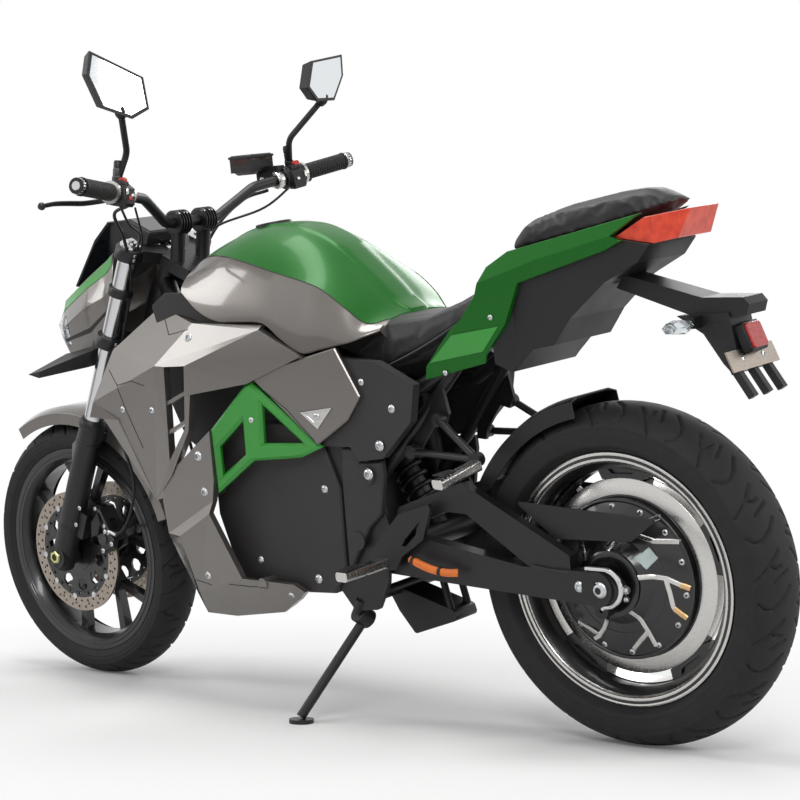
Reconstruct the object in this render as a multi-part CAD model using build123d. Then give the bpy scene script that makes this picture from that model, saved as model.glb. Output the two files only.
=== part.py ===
from build123d import *
import os
from math import asin, cos, radians, sin, tan

# Electric road motorcycle with its motor in the rear hub, leaning on its side stand.
# Every piece is drawn on an upright machine in millimetres: +X forward, +Y to the
# rider's left, +Z up, with X = 0 at the rear axle and Z = 0 on the ground under it.
# The front end is drawn on its own, with X = 0 at the front axle, and front_end puts it in place.
# STANCE then leans the finished pieces and puts the origin on the ground in the middle.

# Stance
WHEELBASE = 1451.0
LEAN = 8.8                      # degrees to the left, on the side stand
RAKE = 26.0                     # steering axis, from upright
FORK_OFFSET = 30.0              # front axle ahead of the steering axis
DRAWN_AXLE_Z = 293.8            # height of the front axle in the drawing of the front end

# Tyres and rims: the crown is an arc over the tread
REAR_TYRE_R = 315.0
REAR_TYRE_HALF = 73.5
REAR_CROWN_DROP = 33.0
REAR_FLANGE_R = 232.0
REAR_FLANGE_HALF = 52.0
FRONT_TYRE_R = 293.0
FRONT_TYRE_HALF = 54.0
FRONT_CROWN_DROP = 29.0
FRONT_SECTION = 62.0            # height of the tyre over the rim's flange
FRONT_FLANGE_R = FRONT_TYRE_R - FRONT_SECTION
FRONT_FLANGE_HALF = 41.0
FLANGE_LIP = 4.0
SEAT_DROP = 10.0                # bead seat below the flange
WELL_DROP = 26.0                # rim well below the flange
RIM_WALL = 6.0

# Axles, hubs and discs
AXLE_R = 12.0
RUNNING = 0.05                  # radial clearance of a running fit
SEAT_GAP = 0.3                  # between pieces that only lie together
FRONT_HUB_R = 33.0
FRONT_HUB_HALF = 48.0
FRONT_DISC_R = 136.0
FRONT_DISC_Y = 63.0
DISC_T = 5.0
DISC_BAND = 30.0
CALIPER_T = 51.4
FENDER_HALF = 64.0
HUGGER_HALF = 75.0
MOTOR_R = 178.0
MOTOR_COVER_R = 146.0
MOTOR_BOSS_R = 56.0
MOTOR_HALF = 84.0
REAR_DISC_R = 120.0
REAR_DISC_Y = -70.0

# Fork, in its own frame: z along the steering axis from the foot of the axle's offset
LEG_HALF = 100.0
SLIDER_R = 27.0
SLIDER_TOP = 330.0
TUBE_R = 20.5
TUBE_TOP = 756.0
LOWER_YOKE_Z = 520.0
UPPER_YOKE_Z = 724.0
YOKE_T = 26.0
STEM_R = 16.0
HEAD_TUBE_R = 32.0
LAMP_BRACKET_Z = 640.0
COWL_WALL = 5.0

# Handlebar, X from the front axle
BAR_R = 11.0
GRIP_R = 17.0
GRIP_LENGTH = 118.0
BAR_END = (-519.0, 384.0, 1103.0)
BAR_RISE = (-451.0, 160.0, 1066.0)
BAR_CLAMP = (-416.0, 72.0, 1010.0)

# Body widths, from the middle plane to the outside of each layer
COVER_IN = 140.0
BATTERY_HALF = COVER_IN - SEAT_GAP
COVER_OUT = 160.0
INNER_IN = 140.0
FAIRING_IN = 150.0
FAIRING_WALL = 18.0
TAIL_WALL = 12.0
ARM_IN = 96.0
ARM_OUT = 126.0

# Threaded bosses for a paddock stand
BOBBIN_X = -4.0
BOBBIN_Z = 277.0
BOBBIN_R = 4.0
BOBBIN_DEPTH = 18.0


def crown_radius(half_width, drop):
    """Radius of the tread arc from half its chord and its drop at the shoulder."""
    return (half_width ** 2 + drop ** 2) / (2 * drop)


def axle_height(radius, half_width, drop):
    """Axle height, upright, that lets the leaning tyre touch the ground."""
    crown = crown_radius(half_width, drop)
    return radius - crown + crown / cos(radians(LEAN))


REAR_AXLE_Z = axle_height(REAR_TYRE_R, REAR_TYRE_HALF, REAR_CROWN_DROP)
FRONT_AXLE_Z = axle_height(FRONT_TYRE_R, FRONT_TYRE_HALF, FRONT_CROWN_DROP)
MIDDLE_X = (WHEELBASE + FRONT_TYRE_R - REAR_TYRE_R) / 2
RISE = FRONT_AXLE_Z - DRAWN_AXLE_Z
MIDDLE_Y = (BAR_END[2] + RISE) * sin(radians(LEAN))
FORWARD = Vector(cos(radians(RAKE)), 0, sin(radians(RAKE)))
STEER_AXIS = Vector(-sin(radians(RAKE)), 0, cos(radians(RAKE)))
STEER_FOOT = Vector(0, 0, DRAWN_AXLE_Z) - FORWARD * FORK_OFFSET
STANCE = Pos(-MIDDLE_X, -MIDDLE_Y, 0) * Rot(-LEAN, 0, 0)

rear_hub = Pos(0, 0, REAR_AXLE_Z)
front_end = Pos(WHEELBASE, 0, RISE)
front_hub = Pos(0, 0, DRAWN_AXLE_Z)
fork = Location(Plane(origin=STEER_FOOT, x_dir=FORWARD, z_dir=STEER_AXIS))


def side_face(points, corners=0.0):
    """Face in the side view from (x, z) points, with one radius on its corners."""
    spots = [(x, 0, z) for x, z in points]
    if corners:
        return make_face(FilletPolyline(*spots, radius=corners, close=True).edges())
    return make_face(Polyline(*spots, close=True).edges())


def plate(points, y_from, y_to, corners=0.0):
    """Side view outline made solid between two distances from the middle plane."""
    return extrude(Pos(0, y_from, 0) * side_face(points, corners), amount=y_to - y_from, dir=(0, 1, 0))


def plan_block(points, z_from, z_to):
    """Top view outline, given as (x, half width), made solid on both sides."""
    ring = [(x, y, z_from) for x, y in points] + [(x, -y, z_from) for x, y in reversed(points)]
    return extrude(make_face(Polyline(*ring, close=True).edges()), amount=z_to - z_from, dir=(0, 0, 1))


def spin(points):
    """Solid of revolution about a wheel's axle from (y, radius) points."""
    return revolve(make_face(Polyline(*[(0, y, r) for y, r in points], close=True).edges()), Axis.Y, 360)


def rod(start, end, radius):
    """Round bar between two points."""
    a, b = Vector(*start), Vector(*end)
    base = Plane(origin=a, z_dir=b - a)
    return Location(base) * Cylinder(radius, (b - a).length, align=(Align.CENTER, Align.CENTER, Align.MIN))


def bent_tube(points, radius, bend):
    """Round tube along straight runs joined by arcs."""
    path = FilletPolyline(*points, radius=bend) if len(points) > 2 else Line(*points)
    return sweep(Location(Plane(origin=path @ 0, z_dir=path % 0)) * Circle(radius), path=path)


def across(x, z, radius, y_from, y_to):
    """Round bar across the machine."""
    return rod((x, y_from, z), (x, y_to, z), radius)


def mirrored(piece):
    """Right-hand twin of a left-hand piece."""
    return mirror(piece, about=Plane.XZ)


def pair(piece):
    """A left-hand piece with its right-hand twin, as two solids."""
    return Compound(children=[piece, mirrored(piece)])


def group(*pieces):
    """Separate solids in one node."""
    return Compound(children=list(pieces))


def ribbed_body(rows):
    """Loft along X. Rows: x, half width and height of the low edge, of the top edge, crown height."""
    sections = []
    for x, y_low, z_low, y_top, z_top, z_crown in rows:
        side = [(x, -y_top, z_top), (x, -y_low, z_low), (x, y_low, z_low), (x, y_top, z_top)]
        crown = ThreePointArc((x, y_top, z_top), (x, 0, z_crown), (x, -y_top, z_top))
        sections.append(make_face((Polyline(*side) + crown).edges()))
    return loft(sections, ruled=True)


def flat_body(rows):
    """Loft along X between trapezoids. Rows: x, low half width, low z, top half width, top z."""
    sections = []
    for x, y_low, z_low, y_top, z_top in rows:
        ring = [(x, -y_top, z_top), (x, -y_low, z_low), (x, y_low, z_low), (x, y_top, z_top)]
        sections.append(make_face(Polyline(*ring, close=True).edges()))
    return loft(sections, ruled=True)


def folded_panel(corners, folds, wall):
    """Moulded panel in flat folds. Corners by name as (x, y, z), folds as three corner names, wall across."""
    whole = None
    for fold in folds:
        face = make_face(Polyline(*[corners[name] for name in fold.split()], close=True).edges())
        piece = extrude(face, amount=wall, dir=(0, -1, 0))
        whole = piece if whole is None else whole + piece
    return whole


def mitred_tube(points, radius):
    """Round tube along straight runs cut and welded at their corners."""
    path = Polyline(*points)
    return sweep(Location(Plane(origin=path @ 0, z_dir=path % 0)) * Circle(radius), path=path, transition=Transition.RIGHT)


# Wheels

CROWN_STEPS = 10


def tyre(radius, half, drop, flange_r, flange_half):
    """Road tyre seated on its rim, solid inside, with its crown in short flats."""
    seat_y = flange_half - SEAT_GAP
    seat_r = flange_r - SEAT_DROP + SEAT_GAP
    lip_r = flange_r + SEAT_GAP
    foot_y = flange_half + FLANGE_LIP
    crown = crown_radius(half, drop)
    spread = asin(half / crown)
    turns = [spread * (1 - 2 * step / CROWN_STEPS) for step in range(CROWN_STEPS + 1)]
    tread = [(crown * sin(turn), radius - crown + crown * cos(turn)) for turn in turns]
    wall = [(foot_y, lip_r), (half - 3, lip_r + 12), (half + 0.5, (lip_r + radius - drop) / 2 + 6)]
    bead = [(-foot_y, lip_r), (-seat_y, lip_r), (-seat_y, seat_r), (seat_y, seat_r), (seat_y, lip_r)]
    return spin(bead + wall + tread + [(-y, r) for y, r in reversed(wall[1:])])


def rim_barrel(flange_r, flange_half):
    """Rim with two flanges, bead seats and a well."""
    edge = flange_half + FLANGE_LIP
    seat = flange_r - SEAT_DROP
    well = flange_r - WELL_DROP
    outer = [(edge, flange_r - SEAT_DROP - RIM_WALL), (edge, flange_r), (flange_half, flange_r),
             (flange_half, seat), (flange_half - 14, seat), (flange_half - 20, well)]
    inner = [(-(flange_half - 18), well - RIM_WALL), (flange_half - 18, well - RIM_WALL)]
    return spin(outer + [(-y, r) for y, r in reversed(outer)] + inner)


SPOKES = 5
barrel_r = FRONT_FLANGE_R - WELL_DROP - RIM_WALL
front_rim = rim_barrel(FRONT_FLANGE_R, FRONT_FLANGE_HALF)
front_rim += spin([(-FRONT_HUB_HALF, 0), (-FRONT_HUB_HALF, FRONT_HUB_R), (FRONT_HUB_HALF, FRONT_HUB_R), (FRONT_HUB_HALF, 0)])
stem = plate([(-17, FRONT_HUB_R - 8), (17, FRONT_HUB_R - 8), (12, 118), (-12, 118)], -13, 13)
prong = plate([(-3, 100), (13, 104), (70, barrel_r - 9), (50, barrel_r - 2)], -11, 11)
for turn in range(SPOKES):
    for piece in (stem, prong, mirror(prong, about=Plane.YZ)):
        front_rim += Rot(0, turn * 360 / SPOKES, 0) * piece
front_rim -= Rot(90, 0, 0) * Cylinder(AXLE_R + RUNNING, 2 * FRONT_HUB_HALF + 2)


def disc(radius, y, hub_r, arms):
    """Brake disc on its carrier: a band, a hub ring and arms between them."""
    half = DISC_T / 2
    band = spin([(y - half, radius - DISC_BAND), (y - half, radius), (y + half, radius), (y + half, radius - DISC_BAND)])
    ring = spin([(y - half, hub_r - 10), (y - half, hub_r + 8), (y + half, hub_r + 8), (y + half, hub_r - 10)])
    arm = plate([(-11, hub_r), (11, hub_r), (7, radius - DISC_BAND + 4), (-7, radius - DISC_BAND + 4)], y - half, y + half)
    whole = band + ring
    for turn in range(arms):
        whole += Rot(0, turn * 360 / arms, 0) * arm
    return whole


front_disc = disc(FRONT_DISC_R, FRONT_DISC_Y, FRONT_HUB_R + 12, 5)
hub_in = FRONT_HUB_R + 2
spacer = spin([(FRONT_HUB_HALF + SEAT_GAP, AXLE_R + 8), (FRONT_HUB_HALF + SEAT_GAP, hub_in + 6),
               (FRONT_DISC_Y + DISC_T / 2, hub_in + 6), (FRONT_DISC_Y + DISC_T / 2, AXLE_R + 8)])
front_disc += spacer

motor_profile = [(-MOTOR_HALF, AXLE_R + RUNNING), (-MOTOR_HALF, MOTOR_BOSS_R - 14), (-62, MOTOR_BOSS_R - 8),
                 (-38, MOTOR_BOSS_R + 14), (-34, MOTOR_COVER_R - 6), (-24, MOTOR_COVER_R), (-20, MOTOR_R), (20, MOTOR_R), (24, MOTOR_COVER_R),
                 (45, MOTOR_COVER_R - 4), (62, MOTOR_BOSS_R + 22), (MOTOR_HALF, MOTOR_BOSS_R), (MOTOR_HALF, AXLE_R + RUNNING)]
hub_motor = spin(motor_profile)
rear_rim = rim_barrel(REAR_FLANGE_R, REAR_FLANGE_HALF)
rear_well = REAR_FLANGE_R - WELL_DROP - RIM_WALL
spoke = plate([(-44, MOTOR_R - 3), (44, MOTOR_R - 3), (56, rear_well + 1), (-56, rear_well + 1)], -19, 19)
POCKET = [(-22, MOTOR_R + 8), (22, MOTOR_R + 8), (30, rear_well - 6), (-30, rear_well - 6)]
POCKET_DEPTH = 6.0
pocket = plate(POCKET, 19 - POCKET_DEPTH, 20)
spoke = spoke - pocket - mirrored(pocket)
for turn in range(SPOKES):
    rear_rim += Rot(0, turn * 360 / SPOKES, 0) * spoke
rear_rim -= Rot(90, 0, 0) * Cylinder(MOTOR_R, 100)

rear_disc = disc(REAR_DISC_R, REAR_DISC_Y, MOTOR_BOSS_R, 6)
rear_disc -= rear_disc & hub_motor

# Swingarm: a tapered box each side with a brace above it, joined at the pivot

ARM = [(500, 318), (500, 372), (452, 396), (358, 383), (158, 348), (20, 346), (-26, 340), (-44, 318), (-36, 290),
       (20, 286), (331, 306)]
BRACE = [(470, 392), (440, 446), (286, 497), (57, 372), (57, 340), (137, 340), (280, 438), (330, 441),
         (405, 412), (420, 390)]
GUARD = [(186, 462), (-118, 440), (-60, 398), (100, 395)]
arm = plate(ARM, ARM_IN, ARM_OUT, 8) + plate(BRACE, ARM_IN + 4, ARM_OUT - 4, 5)
arm += across(0, REAR_AXLE_Z, 32, ARM_IN, ARM_OUT + 4)
arm += across(BOBBIN_X, BOBBIN_Z, 14, ARM_OUT - 26, ARM_OUT)
arm -= across(BOBBIN_X, BOBBIN_Z, BOBBIN_R, ARM_OUT - BOBBIN_DEPTH, ARM_OUT + 1)
pivot_x, pivot_z = 486.0, 345.0
swingarm = arm + mirrored(arm) + across(pivot_x, pivot_z, 26, -ARM_IN - 1, ARM_IN + 1)
swingarm += across(440, 372, 22, -ARM_IN - 1, ARM_IN + 1)
swingarm += across(0, REAR_AXLE_Z, AXLE_R, -ARM_OUT - 10, ARM_OUT + 10)
swingarm += across(0, REAR_AXLE_Z, 20, MOTOR_HALF + 3, ARM_IN + 1)
swingarm += across(0, REAR_AXLE_Z, 20, -ARM_IN - 1, -MOTOR_HALF - 3)
for hugger_tab in (across(262, 476, 8, HUGGER_HALF + SEAT_GAP, ARM_IN + 8), across(262, 476, 8, -ARM_IN - 8, -HUGGER_HALF - SEAT_GAP)):
    swingarm += hugger_tab
swingarm_guards = pair(plate(GUARD, ARM_OUT - 30, ARM_OUT - 26.5, 4))

# Frame: steering head, two spars to the pivot plates, seat rails and stays

head_low = front_end * fork * Pos(0, 0, LOWER_YOKE_Z + YOKE_T + SEAT_GAP)
HEAD_LENGTH = UPPER_YOKE_Z - LOWER_YOKE_Z - YOKE_T - 2 * SEAT_GAP
frame = head_low * Cylinder(HEAD_TUBE_R, HEAD_LENGTH, align=(Align.CENTER, Align.CENTER, Align.MIN))
SPAR_ROOT = (-21.5, 18, 677)    # in the fork's frame, on the steering head
spar_root = (front_end * fork * Pos(*SPAR_ROOT)).position
SPAR = [tuple(spar_root), (985, 104, 792), (700, 118, 676), (552, 116, 636), (520, 116, 420)]
STAY = [(575, 112, 636), (400, 106, 660), (180, 56, 778)]
LOW_STAY = [(520, 112, 470), (440, 108, 545), (290, 84, 716)]
PIVOT_PLATE = [(603.6, 585), (588, 600), (556, 600), (470, 470), (452, 410), (470, 300), (500, 246), (560, 240), (600, 290)]
spar = mitred_tube(SPAR, 20)
frame += spar + mirrored(spar)
for run, radius in ((STAY, 14), (LOW_STAY, 12)):
    rail = mitred_tube(run, radius)
    frame += rail + mirrored(rail)
side_plate = plate(PIVOT_PLATE, ARM_OUT + 4, ARM_OUT + 14, 10)
frame += side_plate + mirrored(side_plate)
frame += across(560, 572, 14, -ARM_OUT - 6, ARM_OUT + 6)
for peg_y in (107, INNER_IN - SEAT_GAP), (-INNER_IN + SEAT_GAP, -107):
    frame += across(930, 782, 9, *peg_y)
frame += across(540, 262, 12, -ARM_OUT - 6, ARM_OUT + 6)
frame -= head_low * Pos(0, 0, -1) * Cylinder(STEM_R + RUNNING, HEAD_LENGTH + 2, align=(Align.CENTER, Align.CENTER, Align.MIN))

# Steering assembly, drawn in the fork's own frame

def yoke_plate(z, thickness):
    """Fork clamp: a web with a boss around each leg and one round the stem."""
    half_web = [(-28, 26), (FORK_OFFSET - 16, LEG_HALF), (FORK_OFFSET + 20, LEG_HALF), (24, 20)]
    ring = [(x, y, z) for x, y in half_web] + [(x, -y, z) for x, y in reversed(half_web)]
    web = extrude(make_face(Polyline(*ring, close=True).edges()), amount=thickness, dir=(0, 0, 1))
    low = (Align.CENTER, Align.CENTER, Align.MIN)
    for y in (-LEG_HALF, LEG_HALF):
        web += Pos(FORK_OFFSET, y, z) * Cylinder(TUBE_R + 9, thickness, align=low)
    web += Pos(0, 0, z) * Cylinder(HEAD_TUBE_R, thickness, align=low)
    for y in (-LEG_HALF, LEG_HALF):
        web -= Pos(FORK_OFFSET, y, z - 1) * Cylinder(TUBE_R + SEAT_GAP / 2, thickness + 2, align=low)
    return web


low = (Align.CENTER, Align.CENTER, Align.MIN)
clamps = yoke_plate(LOWER_YOKE_Z, YOKE_T) + yoke_plate(UPPER_YOKE_Z, YOKE_T)
clamps += Pos(0, 0, LOWER_YOKE_Z) * Cylinder(STEM_R, UPPER_YOKE_Z - LOWER_YOKE_Z + YOKE_T, align=low)
triple_clamps = fork * clamps
RISER_Y = 37.0
riser = rod((BAR_CLAMP[0] + 17, RISER_Y, BAR_CLAMP[2] - 85), (BAR_CLAMP[0], RISER_Y, BAR_CLAMP[2]), 15)
riser += across(BAR_CLAMP[0], BAR_CLAMP[2], 22, RISER_Y - 17, RISER_Y + 16)
bar_hole = across(BAR_CLAMP[0], BAR_CLAMP[2], BAR_R + SEAT_GAP / 3, 10, 66)
yoke_top = fork * (Pos(0, 0, UPPER_YOKE_Z + YOKE_T) * Box(300, 300, 200, align=low))
riser = (riser - bar_hole) & yoke_top
tongue = fork * (Pos(-62, 0, UPPER_YOKE_Z) * Box(84, 110, YOKE_T, align=(Align.CENTER, Align.CENTER, Align.MIN)))
triple_clamps += tongue
triple_clamps += riser + mirrored(riser)

leg_hole = Pos(FORK_OFFSET, LEG_HALF, LAMP_BRACKET_Z - 1) * Cylinder(TUBE_R + SEAT_GAP / 2, 20, align=low)
bracket_ring = fork * (Pos(FORK_OFFSET, LEG_HALF, LAMP_BRACKET_Z) * Cylinder(TUBE_R + 6, 18, align=low) - leg_hole)
bracket_arm = fork * (Pos(FORK_OFFSET + 8, LEG_HALF - 34, LAMP_BRACKET_Z) * Box(60, 36, 18, align=(Align.MIN, Align.MIN, Align.MIN)) - leg_hole)
fork_tubes = fork * pair(Pos(FORK_OFFSET, LEG_HALF, SLIDER_TOP) * Cylinder(TUBE_R, TUBE_TOP - SLIDER_TOP, align=low))
slider = Pos(FORK_OFFSET, LEG_HALF, -30) * Cylinder(SLIDER_R, SLIDER_TOP + 30, align=low)
slider = chamfer(slider.edges().filter_by(GeomType.CIRCLE), 5)
slider += Pos(FORK_OFFSET, LEG_HALF, 0) * Rot(90, 0, 0) * Cylinder(26, 2 * SLIDER_R - 4)
slider += Pos(FORK_OFFSET - 26, LEG_HALF - 4, 96) * Box(44, 20, 60)
fender_lug_y = FENDER_HALF + SEAT_GAP
LUG_END = 15.7                  # from the leg's axis
lug_reach = LEG_HALF - LUG_END - fender_lug_y
slider += Pos(FORK_OFFSET, fender_lug_y, FRONT_TYRE_R + 8) * Box(34, lug_reach, 22, align=(Align.CENTER, Align.MIN, Align.CENTER))
axle = Pos(FORK_OFFSET, 0, 0) * Rot(90, 0, 0) * Cylinder(AXLE_R, 2 * (LEG_HALF + 16))
sliders = slider + mirrored(slider) + axle
fork_sliders = fork * sliders


def caliper(disc_y, radius, angle):
    """Brake caliper over the edge of a disc, at an angle round the axle from straight ahead."""
    block = Box(58, CALIPER_T, 104) - Pos(-12, 0, 0) * Box(60, DISC_T + 11, 130)
    block = Pos(radius, disc_y, 0) * block
    return Rot(0, -angle, 0) * block


front_caliper = front_hub * caliper(FRONT_DISC_Y, FRONT_DISC_R - 12, 152) - fork_sliders
front_calipers = pair(front_caliper)

bar_path = [BAR_END, BAR_RISE, BAR_CLAMP, (BAR_CLAMP[0], -BAR_CLAMP[1], BAR_CLAMP[2]),
            (BAR_RISE[0], -BAR_RISE[1], BAR_RISE[2]), (BAR_END[0], -BAR_END[1], BAR_END[2])]
handlebar = bent_tube(bar_path, BAR_R, 42)
bar_in = (Vector(*BAR_RISE) - Vector(*BAR_END)).normalized()


def on_bar(distance):
    """Point on the left end of the bar at a distance from its tip."""
    return tuple(Vector(*BAR_END) + bar_in * distance)


def bar_sleeve(start, end, radius):
    """Ring round the straight end of the bar."""
    return rod(on_bar(start), on_bar(end), radius) - rod(on_bar(start - 1), on_bar(end + 1), BAR_R + SEAT_GAP / 3)


grips = pair(bar_sleeve(0, GRIP_LENGTH, GRIP_R))
weight = rod(on_bar(-16), on_bar(-SEAT_GAP), GRIP_R - 1) + rod(on_bar(-2), on_bar(2), BAR_R)
handlebar = handlebar + weight + mirrored(weight)
pod = bar_sleeve(GRIP_LENGTH + 2, GRIP_LENGTH + 42, 24)
perch = on_bar(GRIP_LENGTH + 52)
lever_root = Vector(*perch) + Vector(34, 10, -4)
lever_tip = Vector(*on_bar(8)) + Vector(74, 0, -10)
lever = bar_sleeve(GRIP_LENGTH + 44, GRIP_LENGTH + 62, 17)
lever += rod(tuple(Vector(*perch) + Vector(14, 0, 0)), tuple(lever_root), 8)
lever += rod(tuple(lever_root), tuple(lever_tip), 6)
hand_levers = pair(lever)
bar_room = rod(on_bar(60), on_bar(234), BAR_R + SEAT_GAP / 3)
reservoir = Pos(-411, 205, 1114) * (Box(60, 72, 30) + Pos(0, 0, 17.5) * Box(64, 76, 5))
reservoir += Pos(-447, 223, 1092) * Box(64, 22, 30)
reservoir = mirrored(reservoir - bar_room - lever)
switch_pods = group(pod, mirrored(pod), reservoir)

MIRROR_STEM = [tuple(Vector(*on_bar(GRIP_LENGTH + 22)) + Vector(0, 0, 24 + SEAT_GAP)), (-499, 236, 1160), (-555, 292, 1236)]
MIRROR_MIDDLE = (-563, 300, 1285)
MIRROR = [(-44, -51), (26, -51), (73, 2), (76, 47), (-50, 34), (-76, -22)]
MIRROR_TOE = 10.0               # degrees each mirror faces inward
MIRROR_TURN = {1: 20.0, -1: 0.0}  # degrees each glass is turned in its own plane, left and right


def mirror_pair():
    """Both mirrors on their stems, and both glasses: (arms, glasses)."""
    arms, glasses = [], []
    for side, turn in MIRROR_TURN.items():
        outward = Vector(sin(radians(MIRROR_TOE)), cos(radians(MIRROR_TOE)), 0)
        face = Plane(origin=MIRROR_MIDDLE, x_dir=outward, z_dir=(outward.Y, -outward.X, 0))
        spot = Location(face) * Rot(0, 0, turn)
        shell = spot * extrude(make_face(Polyline(*MIRROR, close=True).edges()), amount=24, taper=14)
        rim = spot * extrude(make_face(Polyline(*MIRROR, close=True).edges()), amount=-3)
        glass = spot * extrude(make_face(Polyline(*[(0.9 * y, 0.88 * z) for y, z in MIRROR], close=True).edges()), amount=-3)
        arm = (bent_tube(MIRROR_STEM, 6.5, 30) + shell + (rim - glass)) - glass - pod
        arms.append(arm if side > 0 else mirrored(arm))
        glasses.append(glass if side > 0 else mirrored(glass))
    return group(*arms), group(*glasses)


mirrors, mirror_glass = mirror_pair()

# Nose: headlight cowl, lens, screen, dash, indicators and fender, X from the front axle

NOSE = [  # x, then half width and height of the low edge, the belt, the stripe, and the crown height
    (-257, 92, 862, 96, 892, 84, 958, 972),
    (-231, 94, 806, 98, 866, 82, 942, 958),
    (-166, 86, 748, 98, 846, 82, 908, 932),
    (-51, 58, 744, 72, 800, 50, 860, 880),
    (-1, 30, 772, 38, 804, 20, 828, 840),
]
NOSE_FLOOR = 30.0               # the hollow runs this far below the low edge, which leaves it open


def nose_body(rows):
    """Ruled loft along X through seven sided sections."""
    sections = []
    for x, y_low, z_low, y_belt, z_belt, y_top, z_top, z_crown in rows:
        half = [(y_low, z_low), (y_belt, z_belt), (y_top, z_top)]
        ring = [(x, y, z) for y, z in half] + [(x, 0, z_crown)] + [(x, -y, z) for y, z in reversed(half)]
        sections.append(make_face(Polyline(*ring, close=True).edges()))
    return loft(sections, ruled=True)


nose_out = nose_body(NOSE)
nose_hollow = nose_body([(x - 2 * COWL_WALL, y_low - COWL_WALL, z_low - NOSE_FLOOR, y_belt - COWL_WALL, z_belt - COWL_WALL,
                          y_top - COWL_WALL, z_top - COWL_WALL, z_crown - COWL_WALL)
                         for x, y_low, z_low, y_belt, z_belt, y_top, z_top, z_crown in NOSE])
nose_shell = nose_out - nose_hollow
LENS = [(-71, 762), (1, 768), (1, 815), (-47, 846), (-77, 812)]
LEG_ROOM = 3.0                  # between the cowl and the fork tubes
leg_room = Pos(FORK_OFFSET, LEG_HALF, SLIDER_TOP) * Cylinder(TUBE_R + LEG_ROOM, TUBE_TOP - SLIDER_TOP, align=low)
nose_shell = nose_shell - fork * leg_room - fork * mirrored(leg_room) - triple_clamps
headlight_cowl = nose_shell - plate(LENS, -100, 100)
LENS_INSET = [(-70, 763), (1, 769), (1, 814), (-47, 844.6), (-75.6, 811.6)]
headlight_lens = nose_shell & plate(LENS_INSET, -100, 100)
lamp_brackets = bracket_ring + (bracket_arm & nose_hollow)
triple_clamps = group(triple_clamps, lamp_brackets, mirrored(lamp_brackets))
SCREEN = [(-101, 890), (-226, 1024), (-230, 1021), (-107, 888)]
SCREEN_PLAN = [(-236, 58), (-191, 74), (-95, 62)]
windscreen = (plate(SCREEN, -80, 80) & plan_block(SCREEN_PLAN, 850, 1050)) - nose_out
dash = fork * (Pos(66, 0, UPPER_YOKE_Z + YOKE_T + SEAT_GAP) * Box(78, 112, 26, align=low))
BLADE = [  # y, then x and z of the section's front, rear and lower corners
    (60, (-106, 752), (-183, 760), (-171, 722)),
    (110, (-99, 748), (-175, 752), (-167, 718)),
    (205, (-79, 716), (-117, 722), (-113, 708)),
]
blade = loft([make_face(Polyline(*[(x, y, z) for x, z in section], close=True).edges()) for y, *section in BLADE], ruled=True)
blade -= nose_out
front_indicators = pair(blade)

FENDER_R = FRONT_TYRE_R + 22
fender_ring = spin([(-62, FENDER_R - 26), (-64, FENDER_R - 26), (-64, FENDER_R), (-40, FENDER_R + 12), (40, FENDER_R + 12),
                    (64, FENDER_R), (64, FENDER_R - 26), (62, FENDER_R - 26), (62, FENDER_R - 1), (39, FENDER_R + 9.5),
                    (-39, FENDER_R + 9.5), (-62, FENDER_R - 1)])
FENDER_CUT = [(0, 0), (230, 420), (0, 500), (-330, 420), (-420, 120)]
front_fender = front_hub * (fender_ring & plate(FENDER_CUT, -80, 80))
FENDER_STAY = [(-99, 586), (-125, 602), (-151, 600), (-141, 560), (-83, 484), (-39, 434), (-17, 448), (-35, 540)]
fender_stay = plate(FENDER_STAY, FENDER_HALF + SEAT_GAP, FENDER_HALF + 6) - fork_sliders
front_fender = front_fender + fender_stay + mirrored(fender_stay)

# Battery, frame covers and body panels

BATTERY = [(600, 271), (846, 262), (900, 420), (900, 560), (830, 612), (690, 612), (604, 590)]
battery_case = plate(BATTERY, -BATTERY_HALF, BATTERY_HALF, 10)
SIDE_COVER = [(586, 567), (600, 700), (545, 738), (430, 728), (345, 684), (360, 615), (436, 545), (497, 539), (514, 566)]
side_cover = plate(SIDE_COVER, COVER_IN, COVER_OUT)
HOUSING = [(545, 562), (516, 562), (500, 534), (447, 538), (446, 512), (461, 436), (494, 409), (556, 316), (552, 480)]
housing = plate(HOUSING, COVER_IN, COVER_OUT - 8)
housing = chamfer(housing.faces().sort_by(Axis.Y)[-1].edges(), 3)
for x, z, radius, proud in ((483, 511, 17, 4), (525, 383, 18, 3)):
    housing += across(x, z, radius, COVER_OUT - 9, COVER_OUT - 8 + proud)
BATTERY_COVER = [(592, 563), (560, 480), (566, 318), (600, 275), (846, 264), (897, 420), (897, 556), (828, 608), (700, 608), (600, 590)]
battery_cover = plate(BATTERY_COVER, COVER_IN, COVER_IN + 9)
battery_cover = chamfer(battery_cover.faces().sort_by(Axis.Y)[-1].edges(), 3)
TRIM = [(736, 694), (752, 688), (850, 600), (848, 472), (750, 538), (632, 545), (576, 566)]
TRIM_HOLES = ([(714, 650), (719, 573), (622, 573)], [(766, 618), (832, 566), (832, 508), (768, 550)])
TRIM_T = 13.0
TRIM_EDGE = 6.0                 # bevel round the face and its windows
TRIM_TURN = 5.1                 # degrees, out towards the front
STRIP_TURN = 3.4


def swung(piece, x, y, turn):
    """A flat piece turned out about an upright line."""
    return Pos(x, y, 0) * Rot(0, 0, turn) * Pos(-x, 0, 0) * piece


trim = plate(TRIM, -TRIM_T, 0)
for hole in TRIM_HOLES:
    trim -= plate(hole, -TRIM_T - 1, 1)
trim = chamfer(trim.faces().sort_by(Axis.Y)[-1].edges(), TRIM_EDGE)
trim = swung(trim, 850, 196, TRIM_TURN)
trim += across(752, 546, 9, BATTERY_HALF, 184)

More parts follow.
